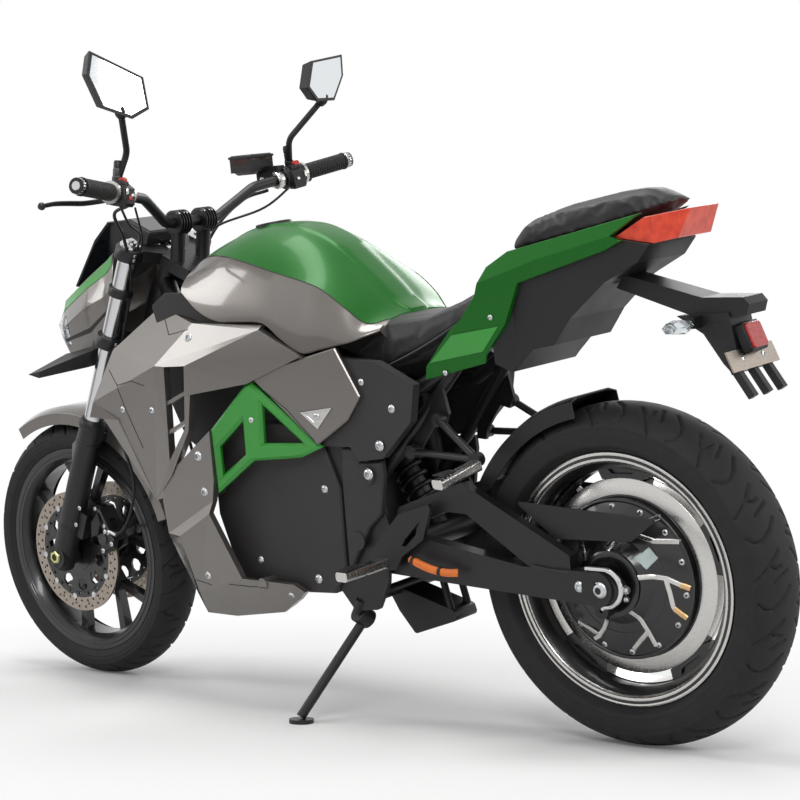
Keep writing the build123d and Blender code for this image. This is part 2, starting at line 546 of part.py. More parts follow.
STRIP = [(737, 706), (604, 738), (519, 757), (470, 664), (506, 618), (584, 571)]
BADGE = [(617, 636), (537, 644), (577, 602)]
BADGE_DEPTH = 3.0
strip = plate(STRIP, -9, 0)
strip = chamfer(strip.faces().sort_by(Axis.Y)[-1].edges(), 2.5)
strip -= plate(BADGE, -BADGE_DEPTH, 1)
strip = swung(strip, 737, 184, STRIP_TURN)

FAIRING = {  # x, y, z of each corner of the outside
    "brow": (1018, 130, 845), "wing": (1145, 160, 760), "nose": (1197, 186, 654), "chin": (1210, 188, 622),
    "under": (1114, 196, 618), "foot": (1029, 192, 452), "hinge": (980, 203, 731), "bolt": (892, 170, 812),
    "ridge": (702, 168, 804), "fold": (702, 181, 796), "arm": (600, 180, 742), "elbow": (739, 192, 692),
    "post": (886, 203, 672), "post_low": (902, 203, 598), "heel": (972, 198, 503),
    "vent_tl": (952, 204, 729), "vent_tr": (894, 204, 730), "vent_br": (912, 203, 603), "vent_bl": (966, 203, 537),
}
FAIRING_FOLDS = [
    "brow wing hinge", "wing nose hinge", "brow hinge bolt", "bolt hinge fold", "bolt fold ridge",
    "hinge fold vent_tr", "vent_tr fold arm", "vent_tr arm elbow", "vent_tr elbow post", "hinge vent_tr vent_tl",
    "nose foot hinge", "nose chin under", "nose under foot", "hinge vent_tl vent_bl", "hinge vent_bl foot",
    "vent_tr post post_low", "vent_tr post_low vent_br", "vent_br post_low heel", "vent_br heel vent_bl",
    "vent_bl heel foot",
]
VENT_BARS = [  # x at the front, z at the front, x at the rear, z at the rear
    (958, 654, 892, 680),
    (964, 594, 900, 622),
]
BAR_T = 8.0
fairing = folded_panel(FAIRING, FAIRING_FOLDS, FAIRING_WALL)
for x_front, z_front, x_rear, z_rear in VENT_BARS:
    bar = [(x_front, z_front - BAR_T / 2), (x_front, z_front + BAR_T / 2), (x_rear, z_rear + BAR_T / 2), (x_rear, z_rear - BAR_T / 2)]
    fairing += plate(bar, 188, 200)
fairing += across(930, 782, 14, FAIRING_IN + SEAT_GAP, 172)
upper_fairings = pair(fairing)

INNER = [(1025, 848), (985, 872), (936, 872), (867, 854.5), (770, 830.5), (699, 816), (631, 774), (600, 762), (590, 742),
         (604, 728), (700, 760), (880, 762), (1010, 790)]
inner = plate(INNER, INNER_IN, FAIRING_IN)
inner_panels = pair(inner - fairing)

COWL = {
    "top": (847, 200, 599), "side": (995, 194, 499), "front": (1011, 192, 452), "back": (847, 202, 500),
    "shelf_front": (1011, 186, 382), "shelf_rear": (862, 196, 456), "lip_front": (960, 204, 382), "lip_rear": (866, 207, 432),
    "flank": (856, 198, 393), "corner": (808, 192, 300), "chine": (941, 184, 262), "rail": (681, 180, 293),
    "tail": (663, 168, 276), "tail_low": (689, 160, 257), "keel_rear": (745, 146, 225), "keel": (883, 142, 206),
    "keel_front": (959, 150, 210), "shin": (1032, 160, 361), "shin_low": (983, 150, 251),
}
COWL_FOLDS = [
    "top side back", "side front back", "front shelf_rear back", "front shelf_front shelf_rear",
    "shelf_front lip_front lip_rear", "shelf_front lip_rear shelf_rear",
    "lip_front chine lip_rear", "lip_rear chine corner", "lip_rear corner flank",
    "chine keel corner", "chine keel_front keel", "corner keel rail", "rail keel keel_rear", "rail keel_rear tail_low", "rail tail_low tail",
    "shelf_front shin lip_front", "shin shin_low lip_front", "lip_front shin_low chine", "chine shin_low keel_front",
]
COWL_T = 14.0
cowl_panel = folded_panel(COWL, COWL_FOLDS, COWL_T)
for x, z in ((886, 540), (882, 470), (760, 290)):
    cowl_panel += across(x, z, 12, COVER_IN, 186)
cowl_panel -= plate([(400, 100), (1200, 100), (1200, 700), (400, 700)], 0, COVER_IN)
cowl_panel = (cowl_panel - fairing).solids().sort_by(SortBy.VOLUME)[-1]
lower_cowl = pair(cowl_panel)
battery_cover -= cowl_panel
side_covers = group(side_cover, housing, battery_cover, mirrored(side_cover), mirrored(housing), mirrored(battery_cover))
trim = (trim - fairing - side_cover - cowl_panel - battery_cover).solids().sort_by(SortBy.VOLUME)[-1]
green_trim = pair(trim)
side_strips = pair(strip - fairing - side_cover - trim)

TANK = [  # x, low half width, low z, edge half width, edge z, crown z
    (937, 150, 874, 118, 900, 920),
    (867, 160, 856, 124, 928, 956),
    (770, 167, 832, 140, 917, 993),
    (699, 170, 818, 146, 909, 990),
    (631, 170, 776, 150, 902, 962),
    (560, 160, 762, 142, 861, 905),
    (494, 150, 763, 130, 823, 845),
    (462, 120, 772, 100, 800, 812),
]
tank_top = ribbed_body([(x, y_edge, z_edge - 14, y_edge, z_edge, z_crown) for x, y_low, z_low, y_edge, z_edge, z_crown in TANK])
tank_sides = flat_body([(x, y_low, z_low, y_edge, z_edge - 14) for x, y_low, z_low, y_edge, z_edge, z_crown in TANK])

SEAT = [
    (550, 86, 735, 80, 750, 751),
    (494, 111, 716, 101, 762.6, 762.7),
    (461.7, 120, 711, 110, 771.6, 771.7),
    (454, 122, 711, 112, 792, 803),
    (425, 125, 713, 116, 792, 801),
    (340, 130, 745, 124, 800, 803),
    (270, 132, 777, 122, 822, 829),
    (222, 124, 803, 100, 848, 852),
    (182, 108, 850, 84, 898, 904),
]
rider_seat = ribbed_body(SEAT)
PILLION = [
    (160, 84, 908, 76, 932, 938),
    (130, 84, 911, 74, 956, 966),
    (40, 80, 928, 70, 974, 988),
    (-60, 70, 945, 58, 990, 1003),
    (-112, 58, 960, 46, 994, 1006),
    (-170, 34, 978, 26, 985, 988),
]
pillion_seat = ribbed_body(PILLION)
TAIL = [(149, 915), (-122, 966), (-64, 930), (-85, 921), (-50, 906), (129, 858), (159, 787), (203, 733), (207, 717),
        (335, 690), (329, 715), (270, 777), (241, 800), (212, 840), (190, 890)]
tail_left = plate(TAIL, 60, 150)
TAIL_PLAN = [(350, 146), (240, 136), (150, 110), (-135, 89)]
tail_plan_out = plan_block(TAIL_PLAN, 600, 1000)
tail_plan_in = plan_block([(x, y - TAIL_WALL) for x, y in TAIL_PLAN], 600, 1000)
core_plan = plan_block([(x, y - TAIL_WALL - SEAT_GAP) for x, y in TAIL_PLAN], 600, 1000)
tail_panels = pair((tail_left & tail_plan_out) - tail_plan_in)
UNDERTRAY = [(-134, 912), (-107, 882), (-39, 850), (35, 790), (72, 744), (116, 738), (161, 698), (192, 715), (192, 780),
             (160, 850), (150, 908.6), (130, 910.6), (40, 927.6), (-41, 941.4), (-62, 926)]
rider_seat -= tail_panels
undertray = plate(UNDERTRAY, -110, 110) & core_plan
frame -= undertray
LAMP = [(-122, 958), (-202, 968), (-178, 919), (-134.1, 912.3), (-62.1, 926.3)]
tail_light = plate(LAMP, -90, 90) & plan_block([(-60, 77), (-122, 70), (-204, 46)], 880, 1000)
tail_light -= undertray

ARM_TAIL = [(-48, 858), (-30, 836), (-170, 786), (-200, 776), (-284, 782), (-290, 800), (-280, 812), (-200, 814)]
HOLDER = [(-150, 784), (-200, 752), (-235, 700), (-250, 684), (-276, 690), (-262, 724), (-252, 788)]
HOLDER_FOOT = [(-262, 724), (-276, 690), (-262, 684), (-248, 718)]
HOLDER_LEG = [(-252, 702), (-268, 702), (-302, 650), (-290, 643)]
INDICATOR_BAR = [(-180, 784), (-200, 784), (-200, 764), (-180, 764)]
plate_carrier = plate(ARM_TAIL, -32, 32) + plate(HOLDER, -36, 36) + plate(HOLDER_FOOT, -58, 58)
plate_carrier += plate(INDICATOR_BAR, -61.7, 61.7)
for y in (-50, 0, 50):
    plate_carrier += plate(HOLDER_LEG, y - 7, y + 7)
plate_carrier -= undertray
plate_bar = plate([(-262.3, 724.1), (-276.3, 690.1), (-279.1, 691.3), (-265.1, 725.3)], -78, 78)
INDICATOR = [  # y, x, half length and half height of a hexagonal section
    (62, -190, 8, 7),
    (92, -188, 22, 12),
    (118, -184, 14, 8),
]


def hexagon(y, x, z, long, tall):
    """Pointed six sided section in a side view."""
    ring = [(x - long, z), (x - long / 2, z + tall), (x + long / 2, z + tall), (x + long, z), (x + long / 2, z - tall), (x - long / 2, z - tall)]
    return make_face(Polyline(*[(a, y, b) for a, b in ring], close=True).edges())


indicator = loft([hexagon(y, x, 771, long, tall) for y, x, long, tall in INDICATOR], ruled=True)
rear_indicators = pair(indicator)

# Rear suspension, mudguard, brake, footrests and stand

HUGGER_R = REAR_TYRE_R + 14
hugger_ring = spin([(-72, HUGGER_R - 30), (-75, HUGGER_R - 30), (-75, HUGGER_R), (-50, HUGGER_R + 8), (50, HUGGER_R + 8),
                    (75, HUGGER_R), (75, HUGGER_R - 30), (72, HUGGER_R - 30), (72, HUGGER_R - 2), (49, HUGGER_R + 5),
                    (-49, HUGGER_R + 5), (-72, HUGGER_R - 2)])
rear_hugger = rear_hub * (hugger_ring & plate([(0, 0), (500, 280), (500, 500), (90, 500)], -90, 90))

shock = rod((448, 0, 384), (554, 0, 566), 22)
link = plate([(398, 206), (404, 226), (528, 262), (560, 252), (540, 216), (504, 172)], -34, 34, 8)
tie = rod((412, 26, 216), (446, 26, 352), 7)
link += tie + mirrored(tie)
for spot_x, spot_z, spot_r in ((440, 372, 22), (560, 572, 14), (540, 262, 12), (pivot_x, pivot_z, 26)):
    shock -= across(spot_x, spot_z, spot_r + SEAT_GAP, -50, 50)
    link -= across(spot_x, spot_z, spot_r + SEAT_GAP, -50, 50)
rear_suspension = group(shock, link)

rear_caliper = rear_hub * caliper(REAR_DISC_Y, REAR_DISC_R - 12, 42)

HEEL = [(506, 355), (455, 406), (422, 437), (347, 459), (343, 450), (367, 391), (422, 357), (440, 330), (480, 326)]
HEEL_SLOT = [(372, 426), (411, 390), (420, 377), (410, 377), (384, 399)]
HEEL_IN = ARM_OUT + 14
heel = plate(HEEL, HEEL_IN, HEEL_IN + 9) - plate(HEEL_SLOT, HEEL_IN - 1, HEEL_IN + 10) - housing
heel = heel.solids().sort_by(SortBy.VOLUME)[-1]
GUSSET = [(402, 592), (322, 672), (312, 622), (324, 600), (345, 606), (382, 560), (388, 538), (410, 540)]
PILLION_BOLTS = ((329, 613), (397, 552))
PILLION_JOINT = (229, 140, 545)
GUSSET_Y = (98, 106)
pillion_arm = across(*PILLION_BOLTS[0], 13, GUSSET_Y[1], 122) + across(*PILLION_BOLTS[1], 13, GUSSET_Y[1], 126)
pillion_arm += rod((*PILLION_BOLTS[0][:1], 116, PILLION_BOLTS[0][1]), PILLION_JOINT, 7)
pillion_arm += rod((PILLION_BOLTS[1][0], 118, PILLION_BOLTS[1][1]), PILLION_JOINT, 7)
pillion_arm += across(PILLION_JOINT[0], PILLION_JOINT[2], 13, 132, 150)
foot_brackets = group(heel, mirrored(heel), pillion_arm, mirrored(pillion_arm))
gusset = plate(GUSSET, *GUSSET_Y)
frame += gusset
frame += mirrored(gusset)


def foot_peg(root, tip, width):
    """Folding footrest: a flat topped bar that widens a little to its tip."""
    a, b = Vector(*root), Vector(*tip)
    base = Plane(origin=a, x_dir=(1, 0, 0), z_dir=b - a)
    sections = [Location(base) * RectangleRounded(width * 0.8, 22, 6),
                Location(Plane(origin=b, x_dir=(1, 0, 0), z_dir=b - a)) * RectangleRounded(width, 18, 6)]
    return loft(sections, ruled=True)


rider_peg = foot_peg((467, 144, 342), (478, 262, 339), 30) - heel - housing
passenger_peg = foot_peg((226, 144, 536), (244, 242, 517), 28) - pillion_arm
foot_pegs = group(rider_peg, mirrored(rider_peg), passenger_peg, mirrored(passenger_peg))

STAND_PIVOT = Vector(556, 118, 222)
STAND_FOOT_X = 636.0
STAND_FOOT_Y = 245.0
STAND_LEG_R = 9.5
FOOT_T = 6.0
stand_foot = Vector(STAND_FOOT_X, STAND_FOOT_Y, STAND_FOOT_Y * tan(radians(LEAN)))
leg_down = (stand_foot + Vector(0, 0, FOOT_T) - STAND_PIVOT).normalized()
STAND_AXIS = leg_down.cross(Vector(-0.96, 0.27, -0.05)).normalized()
stand_hinge = Location(Plane(origin=STAND_PIVOT, x_dir=leg_down, z_dir=STAND_AXIS))
PIN_R = 8.0
EYE_R = 19.0
eye = Cylinder(EYE_R, 2 * STAND_LEG_R) - Cylinder(PIN_R + RUNNING, 40)
leg = rod(STAND_PIVOT + leg_down * (EYE_R - 4), stand_foot + Vector(0, 0, 2 * FOOT_T), STAND_LEG_R)
foot = Location(stand_foot) * Rot(LEAN, 0, 0) * Cylinder(24, FOOT_T + 2, align=low)
side_stand = stand_hinge * eye + leg + foot
lug_z = STAND_LEG_R + SEAT_GAP
lug = Pos(0, 0, lug_z) * Cylinder(EYE_R, 12, align=low)
lug += Pos(0, 0, -lug_z - 5) * Cylinder(PIN_R, 2 * lug_z + 10, align=low)
lug += Pos(0, 0, -lug_z - 5) * Cylinder(PIN_R + 4, 5, align=low)
frame += stand_hinge * lug
frame += rod(STAND_PIVOT + STAND_AXIS * (lug_z + 12), Vector(546, ARM_OUT + 9, 262), 11)

hv_cable = rod((430, ARM_IN - 6 - SEAT_GAP, 322), (96, ARM_IN - 6 - SEAT_GAP, 322), 6)

BODIES = {
    "chassis": {
        "frame": frame,
        "battery_case": battery_case,
        "side_covers": side_covers,
        "inner_panels": inner_panels,
        "green_trim": green_trim,
        "side_strips": side_strips,
        "upper_fairings": upper_fairings,
        "lower_cowl": lower_cowl,
        "tank_top": tank_top,
        "tank_sides": tank_sides,
        "rider_seat": rider_seat,
        "pillion_seat": pillion_seat,
        "tail_panels": tail_panels,
        "undertray": undertray,
        "tail_light": tail_light,
        "plate_carrier": plate_carrier,
        "plate_bar": plate_bar,
        "rear_indicators": rear_indicators,
        "swingarm": swingarm,
        "swingarm_guards": swingarm_guards,
        "rear_suspension": rear_suspension,
        "rear_hugger": rear_hugger,
        "rear_caliper": rear_caliper,
        "foot_brackets": foot_brackets,
        "foot_pegs": foot_pegs,
        "hv_cable": hv_cable,
    },
    "steering": {
        "triple_clamps": triple_clamps,
        "fork_tubes": fork_tubes,
        "fork_sliders": fork_sliders,
        "front_calipers": front_calipers,
        "front_fender": front_fender,
        "handlebar": handlebar,
        "grips": grips,
        "switch_pods": switch_pods,
        "hand_levers": hand_levers,
        "mirrors": mirrors,
        "mirror_glass": mirror_glass,
        "headlight_cowl": headlight_cowl,
        "headlight_lens": headlight_lens,
        "windscreen": windscreen,
        "dash": dash,
        "front_indicators": front_indicators,
    },
    "front_wheel": {
        "front_tyre": front_hub * tyre(FRONT_TYRE_R, FRONT_TYRE_HALF, FRONT_CROWN_DROP, FRONT_FLANGE_R, FRONT_FLANGE_HALF),
        "front_rim": front_hub * front_rim,
        "front_discs": front_hub * pair(front_disc),
    },
    "rear_wheel": {
        "rear_tyre": rear_hub * tyre(REAR_TYRE_R, REAR_TYRE_HALF, REAR_CROWN_DROP, REAR_FLANGE_R, REAR_FLANGE_HALF),
        "rear_rim": rear_hub * rear_rim,
        "hub_motor": rear_hub * hub_motor,
        "rear_disc": rear_hub * rear_disc,
    },
    "side_stand": {"side_stand": side_stand},
}

FRONT_BODIES = ("steering", "front_wheel")
os.makedirs("parts", exist_ok=True)
for body, nodes in BODIES.items():
    place = STANCE * front_end if body in FRONT_BODIES else STANCE
    for name, piece in nodes.items():
        export_step(place * piece, f"parts/{name}.step")
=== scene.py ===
import math
from mathutils import Matrix, Vector
from mathutils.bvhtree import BVHTree
import bpy
import bmesh


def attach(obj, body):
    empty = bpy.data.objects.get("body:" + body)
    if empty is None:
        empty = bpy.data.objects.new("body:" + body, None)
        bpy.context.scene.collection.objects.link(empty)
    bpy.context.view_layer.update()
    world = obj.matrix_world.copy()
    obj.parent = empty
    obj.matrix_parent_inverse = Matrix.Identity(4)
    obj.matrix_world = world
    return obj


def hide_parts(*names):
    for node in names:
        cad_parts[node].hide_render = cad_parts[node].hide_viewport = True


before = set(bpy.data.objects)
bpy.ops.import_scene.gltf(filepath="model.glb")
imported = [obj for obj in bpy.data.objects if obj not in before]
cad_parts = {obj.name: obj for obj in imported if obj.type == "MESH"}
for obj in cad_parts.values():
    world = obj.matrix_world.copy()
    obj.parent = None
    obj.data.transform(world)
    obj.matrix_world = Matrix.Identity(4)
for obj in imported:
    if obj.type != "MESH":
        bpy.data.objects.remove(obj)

# Photographer's corner: a pale floor under the leaning motorcycle, white behind it, and wide
# soft boxes. The camera stands low behind the left rear wheel, with a portrait lens.
scene = bpy.context.scene
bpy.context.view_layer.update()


def linear(code):
    """Linear colour from an sRGB hex value."""
    parts = [int(code[i:i + 2], 16) / 255 for i in (0, 2, 4)]
    return tuple(c / 12.92 if c <= 0.04045 else ((c + 0.055) / 1.055) ** 2.4 for c in parts) + (1.0,)


def add(tree, kind, sockets=None, **settings):
    """Adds a node with its settings, and a value or a link on each named socket."""
    made = tree.nodes.new(kind)
    for name, value in settings.items():
        setattr(made, name, value)
    for name, value in (sockets or {}).items():
        if isinstance(value, bpy.types.NodeSocket):
            tree.links.new(value, made.inputs[name])
        else:
            made.inputs[name].default_value = value
    return made


def new_finish(name, colour, **sockets):
    """Starts a material: its name, base colour and the principled sockets that are constant."""
    made = bpy.data.materials.new(name)
    made.use_nodes = True
    surface = made.node_tree.nodes["Principled BSDF"]
    surface.inputs["Base Color"].default_value = linear(colour)
    for socket, value in sockets.items():
        surface.inputs[socket.replace("_", " ")].default_value = value
    return made, made.node_tree, surface


CAMERA_AT = (-2.6525, 2.8773, 0.6407)
CAMERA_YAW = -0.8772
CAMERA_PITCH = -0.004468
camera = bpy.data.objects.new("camera", bpy.data.cameras.new("camera"))
scene.collection.objects.link(camera)
camera.location = CAMERA_AT
look = Vector((math.cos(CAMERA_PITCH) * math.cos(CAMERA_YAW), math.cos(CAMERA_PITCH) * math.sin(CAMERA_YAW),
               math.sin(CAMERA_PITCH)))
camera.rotation_euler = look.to_track_quat("-Z", "Y").to_euler()
camera.data.lens = 88.5
camera.data.sensor_width = 36.0
camera.data.clip_end = 90.0
scene.camera = camera
scene.view_settings.view_transform = "Standard"

floor_mesh = bpy.data.meshes.new("floor")
floor_mesh.from_pydata([(-30, -30, 0), (30, -30, 0), (30, 30, 0), (-30, 30, 0)], [], [(0, 1, 2, 3)])
floor = bpy.data.objects.new("floor", floor_mesh)
scene.collection.objects.link(floor)
# Seamless paper: matt near the machine, where its shadow lies, and burnt out to white further off.
paper, tree, surface = new_finish("backdrop_paper", "F6F6F5", Roughness=0.95)
grain = add(tree, "ShaderNodeTexNoise", {"Scale": 40.0})
shade = add(tree, "ShaderNodeMapRange", {"Value": grain.outputs["Fac"], "To Min": 0.9, "To Max": 1.0})
tree.links.new(shade.outputs["Result"], surface.inputs["Roughness"])
spot = add(tree, "ShaderNodeTexCoord")
away = add(tree, "ShaderNodeVectorMath", {0: spot.outputs["Object"]}, operation="LENGTH")
fade = add(tree, "ShaderNodeMapRange", {"Value": away.outputs["Value"], "From Min": 0.5, "From Max": 1.9},
           interpolation_type="SMOOTHSTEP")
rays = add(tree, "ShaderNodeLightPath")
seen = add(tree, "ShaderNodeMath", {0: rays.outputs["Is Camera Ray"], 1: fade.outputs["Result"]},
           operation="MULTIPLY")
burnt = add(tree, "ShaderNodeEmission", {"Color": linear("FFFFFF"), "Strength": 1.0})
cover = add(tree, "ShaderNodeMixShader", {"Fac": seen.outputs["Value"], 1: surface.outputs["BSDF"],
                                          2: burnt.outputs["Emission"]})
tree.links.new(cover.outputs["Shader"], tree.nodes["Material Output"].inputs["Surface"])
floor_mesh.materials.append(paper)

LAMPS = [  # name, place, aims at, width, height, watts
    ("key_box", (-2.6, 3.4, 2.9), (0.0, 0.0, 0.6), 1.6, 1.0, 62),
    ("top_box", (0.2, 0.4, 3.4), (0.0, 0.0, 0.5), 2.4, 1.0, 60),
    ("front_box", (3.2, 2.2, 1.9), (0.4, 0.0, 0.6), 1.0, 1.4, 26),
    ("rear_box", (-3.4, -1.6, 1.8), (-0.5, 0.0, 0.6), 1.0, 1.4, 30),
    ("right_box", (1.0, -3.4, 2.4), (0.2, 0.0, 0.6), 1.6, 1.2, 30),
]
for name, place, target, width, height, watts in LAMPS:
    light = bpy.data.lights.new(name, "AREA")
    light.shape = "RECTANGLE"
    light.size, light.size_y, light.energy = width, height, watts
    lamp = bpy.data.objects.new(name, light)
    scene.collection.objects.link(lamp)
    lamp.location = place
    lamp.rotation_euler = (Vector(target) - Vector(place)).to_track_quat("-Z", "Y").to_euler()

world = bpy.data.worlds.new("studio")
scene.world = world
world.use_nodes = True
tree = world.node_tree
tree.nodes.clear()
rays = add(tree, "ShaderNodeLightPath")
white = add(tree, "ShaderNodeBackground", {"Color": linear("FFFFFF"), "Strength": 1.0})
place = add(tree, "ShaderNodeTexCoord")
height = add(tree, "ShaderNodeSeparateXYZ", {"Vector": place.outputs["Generated"]})
sky = add(tree, "ShaderNodeValToRGB", {"Fac": height.outputs["Z"]})
sky.color_ramp.elements[0].position = 0.0
sky.color_ramp.elements[0].color = linear("A8A8AA")
sky.color_ramp.elements[1].position = 0.75
sky.color_ramp.elements[1].color = linear("F4F4F6")
soft = add(tree, "ShaderNodeBackground", {"Color": sky.outputs["Color"], "Strength": 0.34})
through = add(tree, "ShaderNodeMath", {0: rays.outputs["Is Camera Ray"], 1: rays.outputs["Is Glossy Ray"]},
              operation="MAXIMUM")
through = add(tree, "ShaderNodeMath", {0: through.outputs["Value"], 1: rays.outputs["Is Transmission Ray"]},
              operation="MAXIMUM")
seen = add(tree, "ShaderNodeMixShader", {"Fac": through.outputs["Value"], 1: soft.outputs["Background"],
                                         2: white.outputs["Background"]})
add(tree, "ShaderNodeOutputWorld", {"Surface": seen.outputs["Shader"]})

# Frame, swingarm, brackets and stand: steel tube and plate, welded and powder coated in satin black.
# The machine stands leaning, so every piece is drawn upright in millimetres and then leaned here.
UPRIGHT_SHIFT = (-0.7145, -0.16874, 0.0)
LEAN = math.radians(-8.8)
STANCE = Matrix.Translation(UPRIGHT_SHIFT) @ Matrix.Rotation(LEAN, 4, "X")
REAR_AXLE = Vector((0.0, 0.0, 316.1))
FRONT_AXLE = Vector((1451.0, 0.0, 293.8))


def upright(tree):
    """Object coordinates turned back to the upright machine, in metres."""
    spot = add(tree, "ShaderNodeTexCoord")
    return add(tree, "ShaderNodeMapping", {"Vector": spot.outputs["Object"], "Location": UPRIGHT_SHIFT,
                                           "Rotation": (LEAN, 0.0, 0.0)},
                                           vector_type="TEXTURE").outputs["Vector"]


def per_metre(millimetres):
    """Texture scale for a grain of that real size."""
    return 1000.0 / millimetres


def finish(name, colour, tint=None, rough=None, bump=None, **sockets):
    """Material in layers. Each is a grain in millimetres, its detail or its pattern, and then two colours,
    two roughnesses, or the strength and depth of a bump."""
    made, tree, surface = new_finish(name, colour, **sockets)
    at = upright(tree)

    def grain(size, detail):
        if isinstance(detail, str):
            pattern = add(tree, "ShaderNodeTex" + detail, {"Vector": at, "Scale": per_metre(size)})
            return pattern.outputs["Distance" if detail == "Voronoi" else "Fac"]
        return add(tree, "ShaderNodeTexNoise", {"Vector": at, "Scale": per_metre(size),
                                                "Detail": detail}).outputs["Fac"]

    if tint:
        mixed = add(tree, "ShaderNodeMix", {"Factor": grain(*tint[:2]), "A": linear(tint[2]),
                                            "B": linear(tint[3])}, data_type="RGBA")
        tree.links.new(mixed.outputs["Result"], surface.inputs["Base Color"])
    if rough:
        varied = add(tree, "ShaderNodeMapRange", {"Value": grain(*rough[:2]), "To Min": rough[2],
                                                  "To Max": rough[3]})
        tree.links.new(varied.outputs["Result"], surface.inputs["Roughness"])
    if bump:
        relief = add(tree, "ShaderNodeBump", {"Height": grain(*bump[:2]), "Strength": bump[2],
                                              "Distance": bump[3]})
        tree.links.new(relief.outputs["Normal"], surface.inputs["Normal"])
    return made


def dress(nodes, finish, bevel=0.0, angle=25.0):
    """Gives CAD nodes a finish, and a small round on their folded edges, as pressing or moulding leaves."""
    for name in nodes:
        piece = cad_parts[name]
        piece.data.materials.clear()
        piece.data.materials.append(finish)
        for face in piece.data.polygons:
            face.material_index = 0
        if bevel:
            weld = piece.modifiers.new("weld", "WELD")
            weld.merge_threshold = 0.00001
            flat = piece.modifiers.new("flat", "DECIMATE")
            flat.decimate_type = "DISSOLVE"
            flat.angle_limit = math.radians(0.6)
            edge = piece.modifiers.new("edge", "BEVEL")
            edge.width = bevel / 1000
            edge.segments = 2
            edge.limit_method = "ANGLE"
            edge.angle_limit = math.radians(angle)
            edge.harden_normals = True


def shape(name, body, form, finish, sharp=35.0, instead=()):
    """Mesh piece from upright millimetres, set where the leaning machine has it, riding on its body."""
    points, faces = form
    mesh = bpy.data.meshes.new(name)
    mesh.from_pydata([STANCE @ (Vector(point) * 0.001) for point in points], [], faces)
    work = bmesh.new()
    work.from_mesh(mesh)
    bmesh.ops.remove_doubles(work, verts=work.verts, dist=0.00001)
    bmesh.ops.recalc_face_normals(work, faces=work.faces)
    work.to_mesh(mesh)
    work.free()
    mesh.materials.append(finish)
    mesh.shade_smooth()
    mesh.set_sharp_from_angle(angle=math.radians(sharp))
    made = bpy.data.objects.new(name, mesh)
    scene.collection.objects.link(made)
    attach(made, body)
    if instead:
        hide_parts(*instead)
    return made


def joined(*forms):
    """Several forms as one."""
    points, faces = [], []
    for more, rings in forms:
        faces += [[index + len(points) for index in ring] for ring in rings]
        points += [tuple(point) for point in more]
    return points, faces


def moved(form, change):
    """A form with every point passed through a function."""
    return [tuple(change(Vector(point))) for point in form[0]], form[1]


def other_side(form):
    """The right-hand twin of a form."""
    return moved(form, lambda p: (p.x, -p.y, p.z))


def both(form):
    """A form and its right-hand twin."""
    return joined(form, other_side(form))


def lathe(profile, at, axis, steps=24, flute=0.0):
    """Turned form from (radius, distance along the axis). Flute is the depth of ribs along it."""
    axis = Vector(axis).normalized()
    side = axis.orthogonal().normalized()
    points, faces = [], []
    for step in range(steps):
        out = Matrix.Rotation(math.tau * step / steps, 3, axis) @ side
        cut = flute if step % 2 else 0.0
        points += [Vector(at) + axis * along + out * max(radius - cut, 0.0) for radius, along in profile]
    count = len(profile)
    for step in range(steps):
        a, b = step * count, (step + 1) % steps * count
        faces += [(a + i, a + i + 1, b + i + 1, b + i) for i in range(count - 1)]
    return points, faces


def spline(points, steps):
    """Smooth run through points, as many steps to each gap."""
    ends = [Vector(point) for point in points]
    ends = [ends[0] * 2 - ends[1]] + ends + [ends[-1] * 2 - ends[-2]]
    run = []
    for a, b, c, d in zip(ends, ends[1:], ends[2:], ends[3:]):
        for step in range(steps):
            t = step / steps
            run.append(0.5 * (2 * b + (c - a) * t + (2 * a - 5 * b + 4 * c - d) * t * t
                              + (3 * b - a - 3 * c + d) * t ** 3))
    return run + [ends[-2]]


def tube(points, radius, sides=10, flat=1.0):
    """Round bar or hose along points. Radius is one number, or one for each point."""
    spots = [Vector(point) for point in points]
    radii = radius if isinstance(radius, (list, tuple)) else [radius] * len(spots)
    ring_points, faces = [], []
    side = None
    for i, spot in enumerate(spots):
        ahead = (spots[min(i + 1, len(spots) - 1)] - spots[max(i - 1, 0)]).normalized()
        side = ahead.orthogonal() if side is None else side - ahead * side.dot(ahead)
        side.normalize()
        up = ahead.cross(side)
        for k in range(sides):
            turn = math.tau * k / sides
            ring_points.append(spot + (side * math.cos(turn) + up * math.sin(turn) * flat) * radii[i])
    for i in range(len(spots) - 1):
        for k in range(sides):
            a, b = i * sides + k, i * sides + (k + 1) % sides
            faces.append((a, b, b + sides, a + sides))
    last = (len(spots) - 1) * sides
    faces += [tuple(reversed(range(sides))), tuple(range(last, last + sides))]
    return ring_points, faces


def skin(rows, closed=False, ends=False):
    """Surface through rows of points. Closed joins each row's last point to its first."""
    width = len(rows[0])
    points = [tuple(point) for row in rows for point in row]
    faces = []
    for i in range(len(rows) - 1):
        for k in range(width if closed else width - 1):
            a, b = i * width + k, i * width + (k + 1) % width
            faces.append((a, b, b + width, a + width))
    if ends:
        last = (len(rows) - 1) * width
        faces += [tuple(reversed(range(width))), tuple(range(last, last + width))]
    return points, faces


def inset(outline, by):
    """Outline moved inwards by an even distance."""
    area = sum(a[0] * b[1] - b[0] * a[1] for a, b in zip(outline, outline[1:] + outline[:1]))
    turn = 1.0 if area > 0 else -1.0
    result = []
    for i, here in enumerate(outline):
        before, after = Vector(outline[i - 1]), Vector(outline[(i + 1) % len(outline)])
        here = Vector(here)
        a, b = (here - before).normalized(), (after - here).normalized()
        a_in, b_in = Vector((-a.y, a.x)) * turn, Vector((-b.y, b.x)) * turn
        middle = a_in + b_in
        result.append(tuple(here + middle * (by / max(middle.dot(a_in), 0.35))))
    return result


